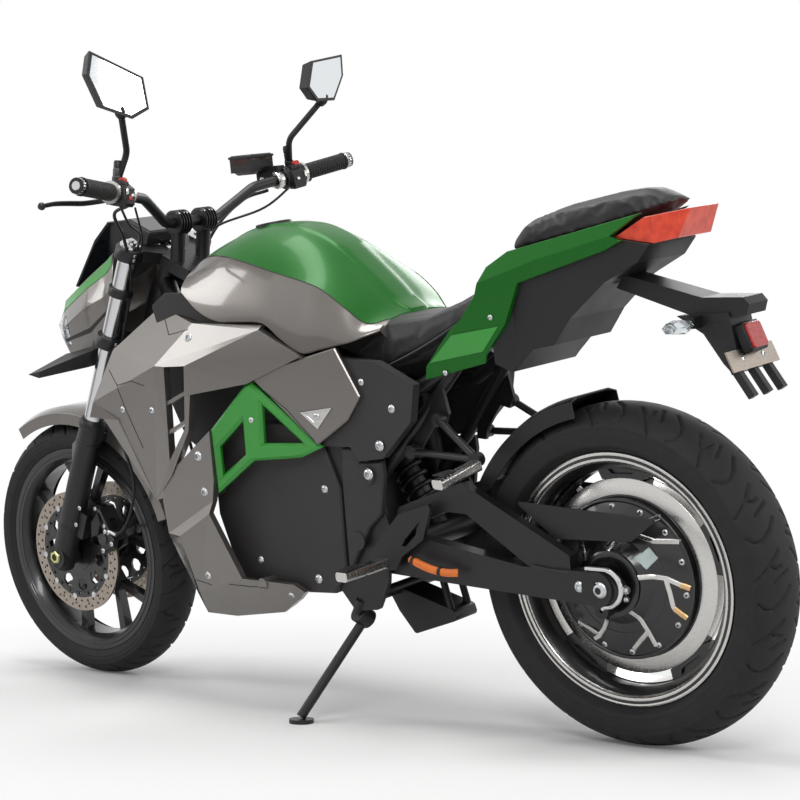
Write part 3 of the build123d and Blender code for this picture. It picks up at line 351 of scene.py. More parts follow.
def slab(outline, y_in, y_out, edge=0.0):
    """Side view outline made solid between two distances from the middle plane, its outer edge bevelled."""
    rows = [[(x, y_in, z) for x, z in outline]]
    if edge:
        toward = math.copysign(edge, y_out - y_in)
        rows.append([(x, y_out - toward, z) for x, z in outline])
        rows.append([(x, y_out, z) for x, z in inset(outline, edge)])
    else:
        rows.append([(x, y_out, z) for x, z in outline])
    return skin(rows, closed=True, ends=True)


def domed_bolt(at, normal, radius, tall=0.5):
    """Button head screw with a hexagon socket, standing on a surface."""
    dome = [(0.0, 0.0), (radius * 1.12, 0.0), (radius * 1.12, radius * 0.12), (radius, radius * 0.2),
            (radius * 0.92, radius * tall * 0.75),
            (radius * 0.55, radius * tall * 1.1), (radius * 0.5, radius * tall * 1.1)]
    socket = [(radius * 0.5, radius * tall * 1.1), (radius * 0.45, radius * 0.1), (0.0, radius * 0.1)]
    return joined(lathe(dome, at, normal, 18), lathe(socket, at, normal, 6))


def hex_bolt(at, normal, radius, tall):
    """Hexagon head on its washer."""
    head = [(0.0, 1.5), (radius, 1.5), (radius, tall), (radius * 0.86, tall + 1.2), (0.0, tall + 1.2)]
    washer = [(0.0, 0.0), (radius * 1.35, 0.0), (radius * 1.35, 1.5), (0.0, 1.5)]
    return joined(lathe(head, at, normal, 6), lathe(washer, at, normal, 20))


# Powder coat: a satin film with a fine orange peel; handling polishes it in patches.
powder_coat = finish("powder_coat_satin_black", "141416", tint=(140, 3, "0F0F11", "1C1B1D"),
                     rough=(140, 3, 0.34, 0.56), bump=(2.2, 2, 0.12, 0.0006), Roughness=0.42,
                     Specular_IOR_Level=0.42)
dress(["frame", "foot_brackets", "swingarm", "side_stand"], powder_coat)
dress(["swingarm_guards", "rear_suspension"], powder_coat, 0.8)

# Fasteners: steel screws, bright zinc plated, with small rings of handling wear.
bright_zinc = finish("zinc_plated_steel", "C4C6C8", rough=(6, 3, 0.18, 0.42), Metallic=1, Roughness=0.28)
LEFT = (0, 1, 0)
surfaces = [BVHTree.FromPolygons([v.co for v in node.data.vertices],
                                 [tuple(face.vertices) for face in node.data.polygons])
            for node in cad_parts.values()]


def backed(spot, reach=5.0):
    """Whether some CAD surface lies within reach of a point, so that a screw there has something to hold."""
    at = STANCE @ (Vector(spot) * 0.001)
    return any(tree.find_nearest(at, reach / 1000)[0] is not None for tree in surfaces)


FRAME_SCREWS = [  # x, y, z, radius, on the left; the right side has the same
    (38, 126, 318, 9), (-8, 130.5, 316, 13), (438, 162, 570, 9), (357, 162, 559, 9), (291, 162, 621, 9),
    (477, 157, 514, 10), (376, 136.5, 526, 6), (486, 138.5, 345, 12), (556, 158.5, 387, 10),
]
screws = [domed_bolt((x, side * y, z), (0, side, 0), radius) for x, y, z, radius in FRAME_SCREWS
          for side in (1, -1)
          if backed((x, side * y, z))]
shape("frame_screws", "chassis", joined(*screws), bright_zinc)
WELDS = [  # runs of weld bead round the joints of tube and plate
    [(985, 125, 792), (978, 112, 812), (972, 98, 806)],
    [(470, 123, 392), (452, 124, 399), (430, 124, 396)],
    [(140, 124, 350), (100, 124, 345), (60, 124, 342)],
    [(502, 127, 372), (478, 127, 388), (452, 127, 397)],
]
shape("weld_beads", "chassis", both(joined(*[tube(spline(run, 6), 3.0, 8) for run in WELDS])), powder_coat)

# Battery case, side covers and inner panels: moulded ABS, charcoal with a fine matt grain, on the
# frame's rubber bushes with button head screws.
charcoal = finish("abs_moulded_charcoal", "2A292A", tint=(180, 2, "242324", "322F30"),
                  bump=(1.5, 3, 0.25, 0.0004), Roughness=0.62, Specular_IOR_Level=0.4)
dress(["battery_case", "side_covers", "inner_panels"], charcoal, 3.0)
COVER_SCREWS = [(600, 150, 480, 7), (640, 150, 300, 8), (792, 150, 330, 7), (470, 161.5, 690, 6),
                (560, 161.5, 690, 6), (402, 161.5, 640, 7)]
shape("cover_screws", "chassis", both(joined(*[domed_bolt((x, y - 1.5, z), LEFT, radius) for x, y, z,
                                               radius in COVER_SCREWS])),
      bright_zinc)

# Undertray, mudguard, switch housings and lamp bodies: black ABS, moulded in one piece each and screwed on.
# It is slightly shinier than the covers, and scuffed in patches.
black_abs = finish("abs_moulded_black", "101012", rough=(90, 4, 0.36, 0.58), bump=(1.8, 2, 0.2, 0.0004),
                   Roughness=0.45, Specular_IOR_Level=0.42)
dress(["undertray", "rear_hugger", "plate_carrier", "switch_pods", "dash", "front_indicators", "mirrors"],
      black_abs, 1.0)

# Tyres: moulded rubber road tyres, seated on the rims, with short curved grooves near the shoulders
# and smooth sidewalls with a rim protector ridge.
rubber = finish("tyre_rubber", "191819", tint=(25, 5, "121112", "242224"), bump=(1.6, 2, 0.1, 0.0003),
                Roughness=0.7, Specular_IOR_Level=0.35)
GROOVES = [  # runs of (distance round the tyre, distance from its middle), in millimetres, in one pitch
    [(0, 10), (22, 30), (36, 50), (34, 64), (22, 76)],
    [(58, 24), (78, 46), (92, 62), (104, 78)],
    [(80, 48), (88, 38), (86, 26)],
    [(96, 12), (104, 30), (112, 44)],
]
GROOVE_HALF = 3.0
GROOVE_DEPTH = 4.5
PITCH = 123.0


def tyre_form(axle, radius, half, drop, flange_r, flange_half, turns):
    """Tyre skin turned about its axle, with the grooves pressed into the crown."""
    crown = (half ** 2 + drop ** 2) / (2 * drop)
    spread = math.asin(half / crown)
    foot, lip = flange_half + 4.0, flange_r + 0.3
    middle = (lip + radius - drop) / 2 + 6
    wall = spline([(foot - 2, lip, 0), (foot + 1, lip + 3, 0), (half - 3, lip + 12, 0),
                   (half + 0.5, middle, 0), (half, radius - drop, 0)], 5)
    wall = [(p.x + (1.4 if abs(p.y - lip - 13) < 2.5 else 0.0) - (0.8 if abs(p.y - radius + drop + 7) < 2
            else 0.0), p.y) for p in wall]
    steps = 54
    arc = [spread * (1 - 2 * step / steps) for step in range(1, steps)]
    outline = [(y, r, None) for y, r in wall]
    outline += [(crown * math.sin(a), radius - crown + crown * math.cos(a), crown * a) for a in arc]
    outline += [(-y, r, None) for y, r in reversed(wall)]
    count = round(math.tau * radius / PITCH)
    rows = []
    for turn in range(turns):
        angle = math.tau * turn / turns
        around = angle * radius
        pitch = math.tau * radius / count
        row = []
        for y, r, across in outline:
            if across is not None:
                local = (around + (pitch / 2 if across < 0 else 0.0)) % pitch * PITCH / pitch
                spot = Vector((local, abs(across)))
                near = 99.0
                for run in GROOVES:
                    for a, b in zip(run, run[1:]):
                        a, b = Vector(a), Vector(b)
                        share = max(0.0, min(1.0, (spot - a).dot(b - a) / (b - a).length_squared))
                        near = min(near, (a + (b - a) * share - spot).length)
                if near < GROOVE_HALF:
                    r -= GROOVE_DEPTH * (1 - (near / GROOVE_HALF) ** 4)
            row.append(axle + Vector((r * math.cos(angle), y, r * math.sin(angle))))
        rows.append(row)
    return skin(rows + [rows[0]])


shape("rear_tyre_skin", "rear_wheel", tyre_form(REAR_AXLE, 315.0, 73.5, 33.0, 232.0, 52.0, 620), rubber,
      50, ["rear_tyre"])
shape("front_tyre_skin", "front_wheel", tyre_form(FRONT_AXLE, 293.0, 54.0, 29.0, 231.0, 41.0, 580), rubber,
      50, ["front_tyre"])

# Rims and hub motor: cast aluminium in gloss black, on the wheel bearings. The rear rim's lips and the
# lining of its barrel are turned bright after painting.
gloss_black = finish("cast_wheel_gloss_black", "0C0C0E", tint=(60, 4, "09090B", "171618"),
                     rough=(60, 4, 0.24, 0.44), Roughness=0.3, Coat_Weight=0.5, Coat_Roughness=0.14,
                     Specular_IOR_Level=0.4)
dress(["front_rim", "rear_rim", "hub_motor"], gloss_black, 1.5)

# Turned aluminium: bright, with faint differences of shine left by the tool.
turned_alloy = finish("turned_aluminium", "C9C7C4", rough=(4, 2, 0.16, 0.34), Metallic=1, Roughness=0.24)
LIP = [(232.0, 56.1), (231.5, 57.4), (229.0, 58.2), (226.5, 57.4), (226.0, 56.1)]
INNER_LIP = [(221.5, 56.1), (221.0, 57.6), (218.5, 58.0), (216.2, 57.0), (215.6, 55.0), (213.0, 53.0),
             (212.0, 50.0)]
BARREL = [(198.0, -32.0), (198.0, 14.0)]
barrel_edge = [(198.0, -32.0), (206.0, -42.0), (213.0, -50.0)]
lips = joined(lathe(LIP, REAR_AXLE, LEFT, 120), lathe(INNER_LIP, REAR_AXLE, LEFT, 120))
shape("rear_rim_lips", "rear_wheel", both(lips), turned_alloy)
shape("rear_barrel_lining", "rear_wheel", joined(lathe(BARREL, REAR_AXLE, LEFT, 120),
                                                 lathe(barrel_edge, REAR_AXLE, LEFT, 120)), turned_alloy)
DRIVE_BAND = [(178.0, -20.0), (179.2, -19.0), (179.2, -8.0), (177.8, -7.0), (177.8, -5.0), (179.2, -4.0),
              (179.2, 19.0), (178.0, 20.0), (150.0, 24.4)]
shape("motor_band", "rear_wheel", lathe(DRIVE_BAND, REAR_AXLE, LEFT, 120), turned_alloy, 50)
RIM_STEPS = [(222.0, 45.2), (221.0, 46.6), (218.5, 46.6), (217.5, 45.2), (213.0, 45.2), (212.0, 46.4),
             (210.0, 46.4), (209.0, 45.0)]
shape("front_rim_steps", "front_wheel", both(lathe(RIM_STEPS, FRONT_AXLE, LEFT, 110)), gloss_black,
      50)

MOTOR_FACE = [(142.0, 45.0), (78.0, 62.0), (56.0, 84.0), (0.0, 84.0)]


def motor_y(x, z, proud):
    """Distance from the middle plane of the motor's cover at a point of the side view."""
    reach = math.hypot(x, z - REAR_AXLE.z)
    for (r_out, y_out), (r_in, y_in) in zip(MOTOR_FACE, MOTOR_FACE[1:]):
        if reach >= r_in:
            share = max(0.0, min(1.0, (r_out - reach) / (r_out - r_in)))
            return y_out + (y_in - y_out) * share + proud
    return MOTOR_FACE[-1][1] + proud


def rib(points, width, proud, drop, surface_y):
    """Flat bar along points of the side view, bent to follow a surface."""
    rows = []
    for i, (x, z) in enumerate(points):
        before, after = Vector(points[max(i - 1, 0)]), Vector(points[min(i + 1, len(points) - 1)])
        ahead = (after - before).normalized()
        half = width[i] / 2 if isinstance(width, (list, tuple)) else width / 2
        side = Vector((-ahead.y, ahead.x)) * half
        ring = []
        for share, lift in ((-1.0, -drop), (-1.0, proud - 1.2), (-0.7, proud), (0.7, proud),
                            (1.0, proud - 1.2), (1.0, -drop)):
            px, pz = x + side.x * share, z + side.y * share
            ring.append((px, surface_y(px, pz, lift), pz))
        rows.append(ring)
    return skin(rows, closed=True, ends=True)


# Accents on the motor's cover: forked bars of cast aluminium with gilt ends, standing proud of the
# cover, and the ring of screws that holds it.
ACCENTS = [
    [(-3, 367), (2, 379), (-14, 400), (-33, 412), (-62, 424), (-89, 433)],
    [(-30, 408), (-52, 399), (-79, 391), (-104, 391), (-126, 390)],
    [(-46, 331), (-72, 330), (-99, 326), (-122, 315), (-140, 309)],
    [(-99, 324), (-104, 300), (-107, 274), (-118, 262), (-129, 254)],
    [(-34, 269), (-44, 248), (-53, 226), (-62, 199)], [(-52, 226), (-32, 207), (-15, 190)],
    [(25, 248), (40, 226), (56, 209), (69, 202)], [(58, 212), (78, 222), (101, 231)],
    [(74, 385), (68, 370), (62, 352)], [(49, 414), (24, 398), (4, 388)],
]
bars = []
for run in ACCENTS:
    dense = []
    for (xa, za), (xb, zb) in zip(run, run[1:]):
        dense += [(xa + (xb - xa) * k / 4, za + (zb - za) * k / 4) for k in range(4)]
    bars.append(rib(dense + [run[-1]], 9.0 if run is not ACCENTS[-1] else 17.0, 3.6, 3.0, motor_y))
shape("motor_accents", "rear_wheel", joined(*bars), turned_alloy)
# Gilt lacquer: thin and warm, paler where it pooled.
gilt = finish("gilt_lacquered_aluminium", "D3A873", tint=(12, 2, "B98A52", "EBCB9C"), Metallic=0.9,
              Roughness=0.3)
ends = [rib([(-124, 314), (-133, 311), (-141, 308)], 10.0, 4.0, 3.0, motor_y),
        rib([(-109, 271), (-119, 262), (-129, 254)], 10.0, 4.0, 3.0, motor_y)]
shape("motor_accent_tips", "rear_wheel", joined(*ends), gilt)

COVER_BOLTS = 14
bolts = []
for turn in range(COVER_BOLTS):
    angle = math.tau * (turn + 0.35) / COVER_BOLTS
    x, z = 133 * math.cos(angle), REAR_AXLE.z + 133 * math.sin(angle)
    bolts.append(domed_bolt((x, motor_y(x, z, 0.0) - 0.6, z),
                            (0.26 * math.cos(angle), 1, 0.26 * math.sin(angle)), 5.0))
shape("motor_bolts", "rear_wheel", both(joined(*bolts)), bright_zinc)
cover_rings = joined(lathe([(146.5, 42.0), (147.0, 45.0), (144.0, 47.0), (141.0, 46.5)], REAR_AXLE, LEFT, 96),
                     lathe([(99.0, 54.0), (98.4, 57.2), (95.6, 57.9), (94.6, 55.0)], REAR_AXLE, LEFT, 96))
shape("motor_cover_rings", "rear_wheel", both(cover_rings), gloss_black, 50)
collar = lathe([(60.0, 76.0), (60.0, 86.0), (56.0, 88.5), (48.0, 88.5), (44.0, 86.5), (36.0, 86.5)],
               REAR_AXLE, LEFT, 60)
shape("motor_collars", "rear_wheel", both(collar), gloss_black, 40)
# Blank label: pale foil, slightly creased.
foil = finish("blank_foil_label", "B9C8C6", tint=(10, 2, "A3B5B3", "C9D4D2"), Roughness=0.35, Metallic=0.2)
diamond = [(-69, 380), (-86, 362), (-67, 343), (-49, 361)]
middle = (-68, 361)
label = skin([[(x, motor_y(x, z, 0.9), z) for x, z in diamond],
              [(x, motor_y(x, z, 0.0), z) for x, z in inset(diamond, -0.5)]], closed=True)
top = ([(x, motor_y(x, z, 0.9), z) for x, z in diamond] + [(middle[0], motor_y(*middle, 0.9), middle[1])],
       [(0, 1, 4), (1, 2, 4), (2, 3, 4), (3, 0, 4)])
shape("blank_label", "rear_wheel", joined(label, top), foil)

# Guard round the end of the rear axle: a bent steel bar, open at the lower front, welded to the swingarm
# and hard chromed. The chrome is bright, with a light haze.
hard_chrome = finish("hard_chrome", "CDCDCF", rough=(30, 3, 0.07, 0.2), Metallic=1, Roughness=0.1)
turns = [math.radians(100 + 9 * k) for k in range(20)]
guard = [(-12 + 36 * math.cos(a), 124.5, REAR_AXLE.z + 2 + 34 * math.sin(a)) for a in turns]
guard = [(22, 124.5, REAR_AXLE.z + 36)] + guard + [(-6, 124.5, REAR_AXLE.z - 36)]
shape("axle_guard", "chassis", both(tube(spline(guard, 2), 4.6, 10)), hard_chrome)
dress(["fork_tubes"], hard_chrome)

# Brake discs: ground stainless steel, drilled in two rows, riveted to black carriers with round
# windows. The grinding leaves fine bands that are warm and uneven in tone.
steel = finish("ground_stainless_steel", "A0968C", tint=(3, 3, "857A70", "B5ABA1"), Metallic=1,
               Roughness=0.34)
dress(["plate_bar"], steel)


def pierced_ring(axle, y, thick, inner, outer, rows):
    """Flat ring with round holes. Each row: its radius, a hole's radius, how many, the first angle."""
    points, faces = [], []

    def put(radius, angle, side):
        points.append(axle + Vector((radius * math.cos(angle), y + side * thick / 2,
                                     radius * math.sin(angle))))
        return len(points) - 1

    edges = sorted([inner, outer] + [r + s * hole * 1.25 for r, hole, count, first in rows for s in (-1, 1)])
    for low, high in zip(edges, edges[1:]):
        row = [found for found in rows if low < found[0] < high]
        for side in (-1, 1):
            if not row:
                ring = [(put(low, math.tau * k / 90, side), put(high, math.tau * k / 90, side))
                        for k in range(90)]
                faces += [(a, b, d, c) for (a, b), (c, d) in zip(ring, ring[1:] + ring[:1])]
                continue
            r, hole, count, first = row[0]
            for k in range(count):
                middle, wide = first + math.tau * k / count, math.pi / count
                frame_of = [(low, -wide), (low, 0), (low, wide), (r, wide), (high, wide), (high, 0),
                            (high, -wide), (r, -wide)]
                out = [put(radius, middle + turn, side) for radius, turn in frame_of]
                rim = []
                for radius, turn in frame_of:
                    angle = math.atan2((radius - r) / (hole * 1.25), turn / wide)
                    rim.append(put(r + hole * math.sin(angle), middle + hole * math.cos(angle) / r, side))
                faces += [(out[i], out[(i + 1) % 8], rim[(i + 1) % 8], rim[i]) for i in range(8)]
                if side > 0:
                    back = [put((points[i] - axle).xz.length,
                                math.atan2((points[i] - axle).z, (points[i] - axle).x), -1) for i in rim]
                    faces += [(rim[i], rim[(i + 1) % 8], back[(i + 1) % 8], back[i]) for i in range(8)]
    for radius in (inner, outer):
        ring = [(put(radius, math.tau * k / 90, -1), put(radius, math.tau * k / 90, 1)) for k in range(90)]
        faces += [(a, b, d, c) for (a, b), (c, d) in zip(ring, ring[1:] + ring[:1])]
    return points, faces


front_bands, front_carriers, rivets = [], [], []
for side in (1, -1):
    y = side * 63.0
    front_bands.append(pierced_ring(FRONT_AXLE, y, 5.0, 106.0, 136.0,
                                    [(113.5, 3.2, 36, 0.0), (127.0, 3.2, 36, math.radians(5))]))
    front_carriers.append(pierced_ring(FRONT_AXLE, y, 5.0, 44.0, 105.4,
                                       [(76.0, 15.5, 10, 0.2), (97.5, 3.6, 20, 0.05)]))
    front_carriers.append(lathe([(20.5, 48.4), (41.0, 48.4), (44.0, 58.0), (46.0, 66.5), (30.0, 67.5),
                                 (20.5, 67.5)], FRONT_AXLE, (0, side, 0), 40))
    for k in range(10):
        a = 0.2 + math.tau * (k + 0.5) / 10
        rivets.append(lathe([(0, 61), (6.5, 61), (6.5, 67), (4.5, 67.6), (0, 67.6)],
                            FRONT_AXLE + Vector((105.5 * math.cos(a), 0, 105.5 * math.sin(a))), (0, side, 0),
                            12))
shape("front_disc_bands", "front_wheel", joined(*front_bands), steel, 30, ["front_discs"])
shape("front_disc_carriers", "front_wheel", joined(*front_carriers), gloss_black, 30)
shape("front_disc_rivets", "front_wheel", joined(*rivets), bright_zinc, 30)
rear_band = pierced_ring(REAR_AXLE, -70.0, 5.0, 90.0, 120.0, [(97.5, 3.2, 32, 0.0), (111.0, 3.2, 32, 0.098)])
rear_web = pierced_ring(REAR_AXLE, -70.0, 5.0, 50.0, 89.4, [(72.0, 9.5, 12, 0.1)])
shape("rear_disc_band", "rear_wheel", rear_band, steel, 30, ["rear_disc"])
shape("rear_disc_carrier", "rear_wheel", rear_web, gloss_black, 30)

# Fork: hard chromed tubes in black cast sliders, held by clamps with pinch screws. The nut on the
# axle is anodised pale gold.
FORK_FOOT = Vector((1424.0, 0.0, 280.6))
FORK_UP = Vector((-0.43837, 0.0, 0.89879))
FORK_AHEAD = Vector((0.89879, 0.0, 0.43837))


def on_fork(ahead, y, up):
    """Point given in the fork's own frame."""
    return FORK_FOOT + FORK_AHEAD * ahead + Vector((0, y, 0)) + FORK_UP * up


# Cast aluminium, painted satin black: sand grain under the paint, rubbed shinier by hands and tools.
cast_black = finish("cast_aluminium_satin_black", "121214", rough=(110, 2, 0.3, 0.5),
                    bump=(2.5, 3, 0.15, 0.0005), Roughness=0.4, Specular_IOR_Level=0.45)
dress(["fork_sliders", "triple_clamps", "handlebar"], cast_black, 1.0)
fork_trim, fork_screws, caps = [], [], []
for y in (100.0, -100.0):
    fork_trim.append(lathe([(20.9, 326), (28.5, 326), (29.5, 328), (29.5, 336), (26.5, 343), (22.5, 346),
                            (20.9, 346)], on_fork(30, y, 0), FORK_UP, 32))
    fork_trim.append(lathe([(27.0, 286), (28.4, 288), (28.4, 292), (27.0, 294)], on_fork(30, y, 0), FORK_UP,
                           32))
    fork_trim.append(lathe([(27.0, 70), (28.6, 72), (28.6, 90), (27.0, 92)], on_fork(30, y, 0), FORK_UP, 32))
    for up in (528.0, 538.0, 732.0, 742.0):
        fork_screws.append(domed_bolt(on_fork(30 - 27, y + math.copysign(8, y), up), -FORK_AHEAD, 4.0))
    caps.append(lathe([(20.5, 750), (23.0, 750), (23.0, 757), (20.0, 760), (13.0, 760), (12.0, 764),
                       (6.0, 764), (6.0, 768), (0.0, 768)],
                      on_fork(30, y, 0), FORK_UP, 24))
    for ahead, up in ((46, 8), (46, -8), (14, 104), (14, 146)):
        fork_screws.append(domed_bolt(on_fork(ahead - 22, y + math.copysign(24, y), up),
                                      (0, math.copysign(1, y), 0), 4.5))
caps.append(lathe([(24.0, 750), (24.0, 756), (15.0, 758), (15.0, 766), (13.0, 767), (0.0, 767)],
                  on_fork(0, 0, 0), FORK_UP, 6))
shape("fork_seals", "steering", joined(*fork_trim), black_abs, 40)
shape("fork_screws", "steering", joined(*fork_screws), bright_zinc)
shape("fork_caps", "steering", joined(*caps), hard_chrome)
# Pale gold anodising, uneven round the flats.
anodised = finish("anodised_aluminium_gold", "C9C78A", tint=(8, 1, "B5B36A", "DEDCAE"), Metallic=1,
                  Roughness=0.3)
nut = joined(lathe([(0, 115.5), (19, 115.5), (19, 118.5), (16.5, 119), (0, 119)], FRONT_AXLE, LEFT, 32),
             lathe([(15.0, 119), (15.0, 128), (13.5, 130), (8.5, 130), (7.5, 122), (0, 122)], FRONT_AXLE,
                   LEFT, 6))
shape("axle_nuts", "steering", both(nut), anodised)

# Calipers: black cast bodies bolted to the fork legs and to the swingarm, each with two piston caps a
# side and screws through both halves.
CALIPER = [(-27, -38), (-20, -52), (16, -52), (29, -40), (29, 40), (16, 52), (-20, 52), (-27, 38), (-16, 30),
           (-16, 6), (-22, 0), (-16, -6), (-16, -30)]


def caliper_forms(axle, side, disc_y, reach, angle):
    """Caliper body halves with their bridge, and its caps and screws, over a disc's edge."""
    turn = math.radians(angle)
    out, round_it = Vector((math.cos(turn), 0, math.sin(turn))), Vector((-math.sin(turn), 0, math.cos(turn)))

    def place(p):
        return axle + out * (reach + p.x) + round_it * p.z + Vector((0, side * (disc_y + p.y), 0))

    bodies = [moved(slab(CALIPER, face * 8.3, face * 25.5, 4.0), place) for face in (1, -1)]
    bridge = [(19, -40), (29, -40), (29, -12), (24, -8), (24, 8), (29, 12), (29, 40), (19, 40)]
    bodies.append(moved(slab(bridge, -9, 9), place))
    caps, screws = [], []
    for z in (-22.0, 22.0):
        ring = lathe([(0, 25.4), (13.5, 25.4), (13.5, 27.4), (11.0, 27.4), (10.0, 26.4), (0, 26.4)],
                     (2, 0, z), LEFT, 28)
        caps.append(moved(ring, place))
    for x, z in ((20, -44), (20, 44), (-14, -44), (-14, 44), (22, 0)):
        screws.append(moved(domed_bolt((x, 25.3, z), LEFT, 5.0), place))
    return bodies, caps, screws


front_bodies, front_caps, front_screws = [], [], []
for side in (1, -1):
    bodies, caps, screws = caliper_forms(FRONT_AXLE, side, 63.0, 124.0, 152.0)
    front_bodies, front_caps, front_screws = front_bodies + bodies, front_caps + caps, front_screws + screws
shape("front_caliper_bodies", "steering", joined(*front_bodies), cast_black, 30,
      ["front_calipers"])
shape("front_caliper_caps", "steering", joined(*front_caps), gloss_black)
shape("front_caliper_screws", "steering", joined(*front_screws), bright_zinc)
mounts = []
for side in (1, -1):
    arm = [(1352, 372), (1330, 392), (1322, 372), (1334, 344), (1356, 338)]
    mounts.append(slab(arm, side * 89, side * 99, 2.0))
shape("front_caliper_mounts", "steering", joined(*mounts), cast_black)
bodies, caps, screws = caliper_forms(REAR_AXLE, -1, 70.0, 108.0, 42.0)
shape("rear_caliper_body", "chassis", joined(*bodies), cast_black, 30, ["rear_caliper"])
shape("rear_caliper_caps", "chassis", joined(*caps), gloss_black)
shape("rear_caliper_screws", "chassis", joined(*screws), bright_zinc)

# Hoses and leads: braided brake hoses and wiring in black rubber sleeve, clipped to the fork and the
# bar, with zinc plated unions at the calipers.
# Sleeve over braid: matt, with the braid just felt through it.
sleeve = finish("black_rubber_sleeve", "131314", bump=(1.5, 2, 0.3, 0.0004), Roughness=0.55,
                Specular_IOR_Level=0.4)
HOSES = [  # radius, then points from end to end
    (3.6, [(1000, 205, 1056), (1060, 190, 1040), (1100, 134, 985), (1134, 98, 900), (1176, 92, 800),
           (1232, 94, 660), (1222, 96, 560), (1204, 92, 470),
           (1226, 90, 400), (1268, 88, 352), (1310, 86, 352)]),
    (3.6, [(1000, -205, 1056), (1064, -190, 1040), (1100, -134, 985), (1134, -98, 900), (1176, -92, 800),
           (1232, -94, 660), (1222, -96, 560), (1204, -92, 470),
           (1226, -90, 400), (1268, -88, 352), (1310, -86, 352)]),
    (2.6, [(966, 262, 1070), (1010, 200, 1020), (1072, 116, 992), (1124, 86, 950), (1170, 66, 908)]),
    (2.2, [(990, 196, 1050), (1046, 134, 990), (1096, 98, 956), (1146, 74, 910), (1176, 60, 884)]),
    (2.6, [(966, -262, 1070), (1010, -200, 1020), (1072, -116, 992), (1124, -86, 950), (1170, -66, 908)]),
]
shape("brake_hoses", "steering", joined(*[tube(spline(points, 8), radius, 10) for radius, points in HOSES]),
      sleeve, 60)
unions = []
for y in (88.0, -88.0):
    unions.append(lathe([(0, -5), (7, -5), (7, 0), (5, 2), (5, 8), (0, 9)], (1312, y, 350),
                        (0, math.copysign(1, y), 0.2), 16))
    unions.append(tube([(1284, y, 344), (1300, y, 350), (1312, y, 351)], [4.4, 4.8, 5.2], 12))
shape("hose_unions", "steering", joined(*unions), bright_zinc)
# Orange silicone jacket, scuffed paler along its bends.
orange = finish("silicone_cable_orange", "E0701E", tint=(14, 3, "D05F16", "EE8330"), Roughness=0.5)
dress(["hv_cable"], orange)

# Handlebar, grips, levers and switches. The grips are ribbed rubber sleeves with bright turned end
# weights; the levers are cast and end in a ball; the buttons are moulded red.
BAR_TIP = Vector((932.0, 384.0, 1103.0))
BAR_IN = (Vector((1000.0, 160.0, 1066.0)) - BAR_TIP).normalized()
GRIP_RIBS = [(16.2, 0.0), (18.6, 0.5), (18.6, 4.0)]
for k in range(17):
    GRIP_RIBS += [(16.4, 5.0 + 6.2 * k), (17.6, 6.2 + 6.2 * k), (17.6, 9.4 + 6.2 * k), (16.4, 10.6 + 6.2 * k)]
GRIP_RIBS += [(17.0, 111.0), (22.0, 113.0), (22.0, 117.5), (12.5, 118.0)]
# Grip rubber: matt, with small moulded pips between the ribs.
grip_rubber = finish("moulded_grip_rubber", "1D1B1B", bump=(3, "Voronoi", 0.3, 0.0006), Roughness=0.62,
                     Specular_IOR_Level=0.4)
grip = lathe(GRIP_RIBS, BAR_TIP, BAR_IN, 40)
shape("ribbed_grips", "steering", both(grip), grip_rubber, 40, ["grips"])
WEIGHT = [(0.0, -17.2), (9.0, -17.2), (10.0, -15.6), (13.5, -15.6), (16.5, -13.0), (16.8, -10.0),
          (16.8, -3.0), (15.5, -1.0), (12.0, -0.4)]
shape("bar_end_weights", "steering", both(lathe(WEIGHT, BAR_TIP, BAR_IN, 36, 1.1)), hard_chrome, 60)
pod = [(12.0, 119.0), (21.5, 119.0), (24.6, 121.0), (24.6, 139.0), (23.6, 140.0), (23.6, 141.2),
       (24.6, 142.2), (24.6, 158.0), (22.0, 160.4), (12.0, 160.6)]
ring = [(17.4, 105.0), (23.0, 106.0), (23.0, 112.0), (17.4, 112.8)]
shape("grip_rings", "steering", both(lathe(ring, BAR_TIP, BAR_IN, 40)), turned_alloy, 40)
RIDER = Vector((-1.0, 0.0, 0.0))


def at_bar(along, back, up):
    """Point by the left bar end: along the bar from its tip, towards the rider, and up."""
    return BAR_TIP + BAR_IN * along + RIDER * back + Vector((0, 0, up))


def block(centre, long, deep, tall, soft):
    """Moulded housing along the bar with softened edges."""
    across = (RIDER - BAR_IN * RIDER.dot(BAR_IN)).normalized()
    high = BAR_IN.cross(across).normalized()
    high = high if high.z > 0 else -high
    rows = []
    for share, cut in ((-0.5, soft), (-0.5 + soft / long, 0.0), (0.5 - soft / long, 0.0), (0.5, soft)):
        ring = []
        for a, b in ((-1, -1), (1, -1), (1, 1), (-1, 1)):
            for da, db in ((0, 1), (1, 0)) if (a * b > 0) else ((1, 0), (0, 1)):
                ring.append(Vector(centre) + BAR_IN * long * share + across * a
                            * (deep / 2 - cut - soft * da) + high * b * (tall / 2 - cut - soft * db))
        rows.append(ring)
    return skin(rows, closed=True, ends=True)


housing = joined(lathe(pod, BAR_TIP, BAR_IN, 40), block(at_bar(140, 16, -6), 38, 30, 40, 5),
                 block(at_bar(141, 10, 20), 26, 22, 12, 3))
shape("switch_housings", "steering", both(housing), black_abs, 40)
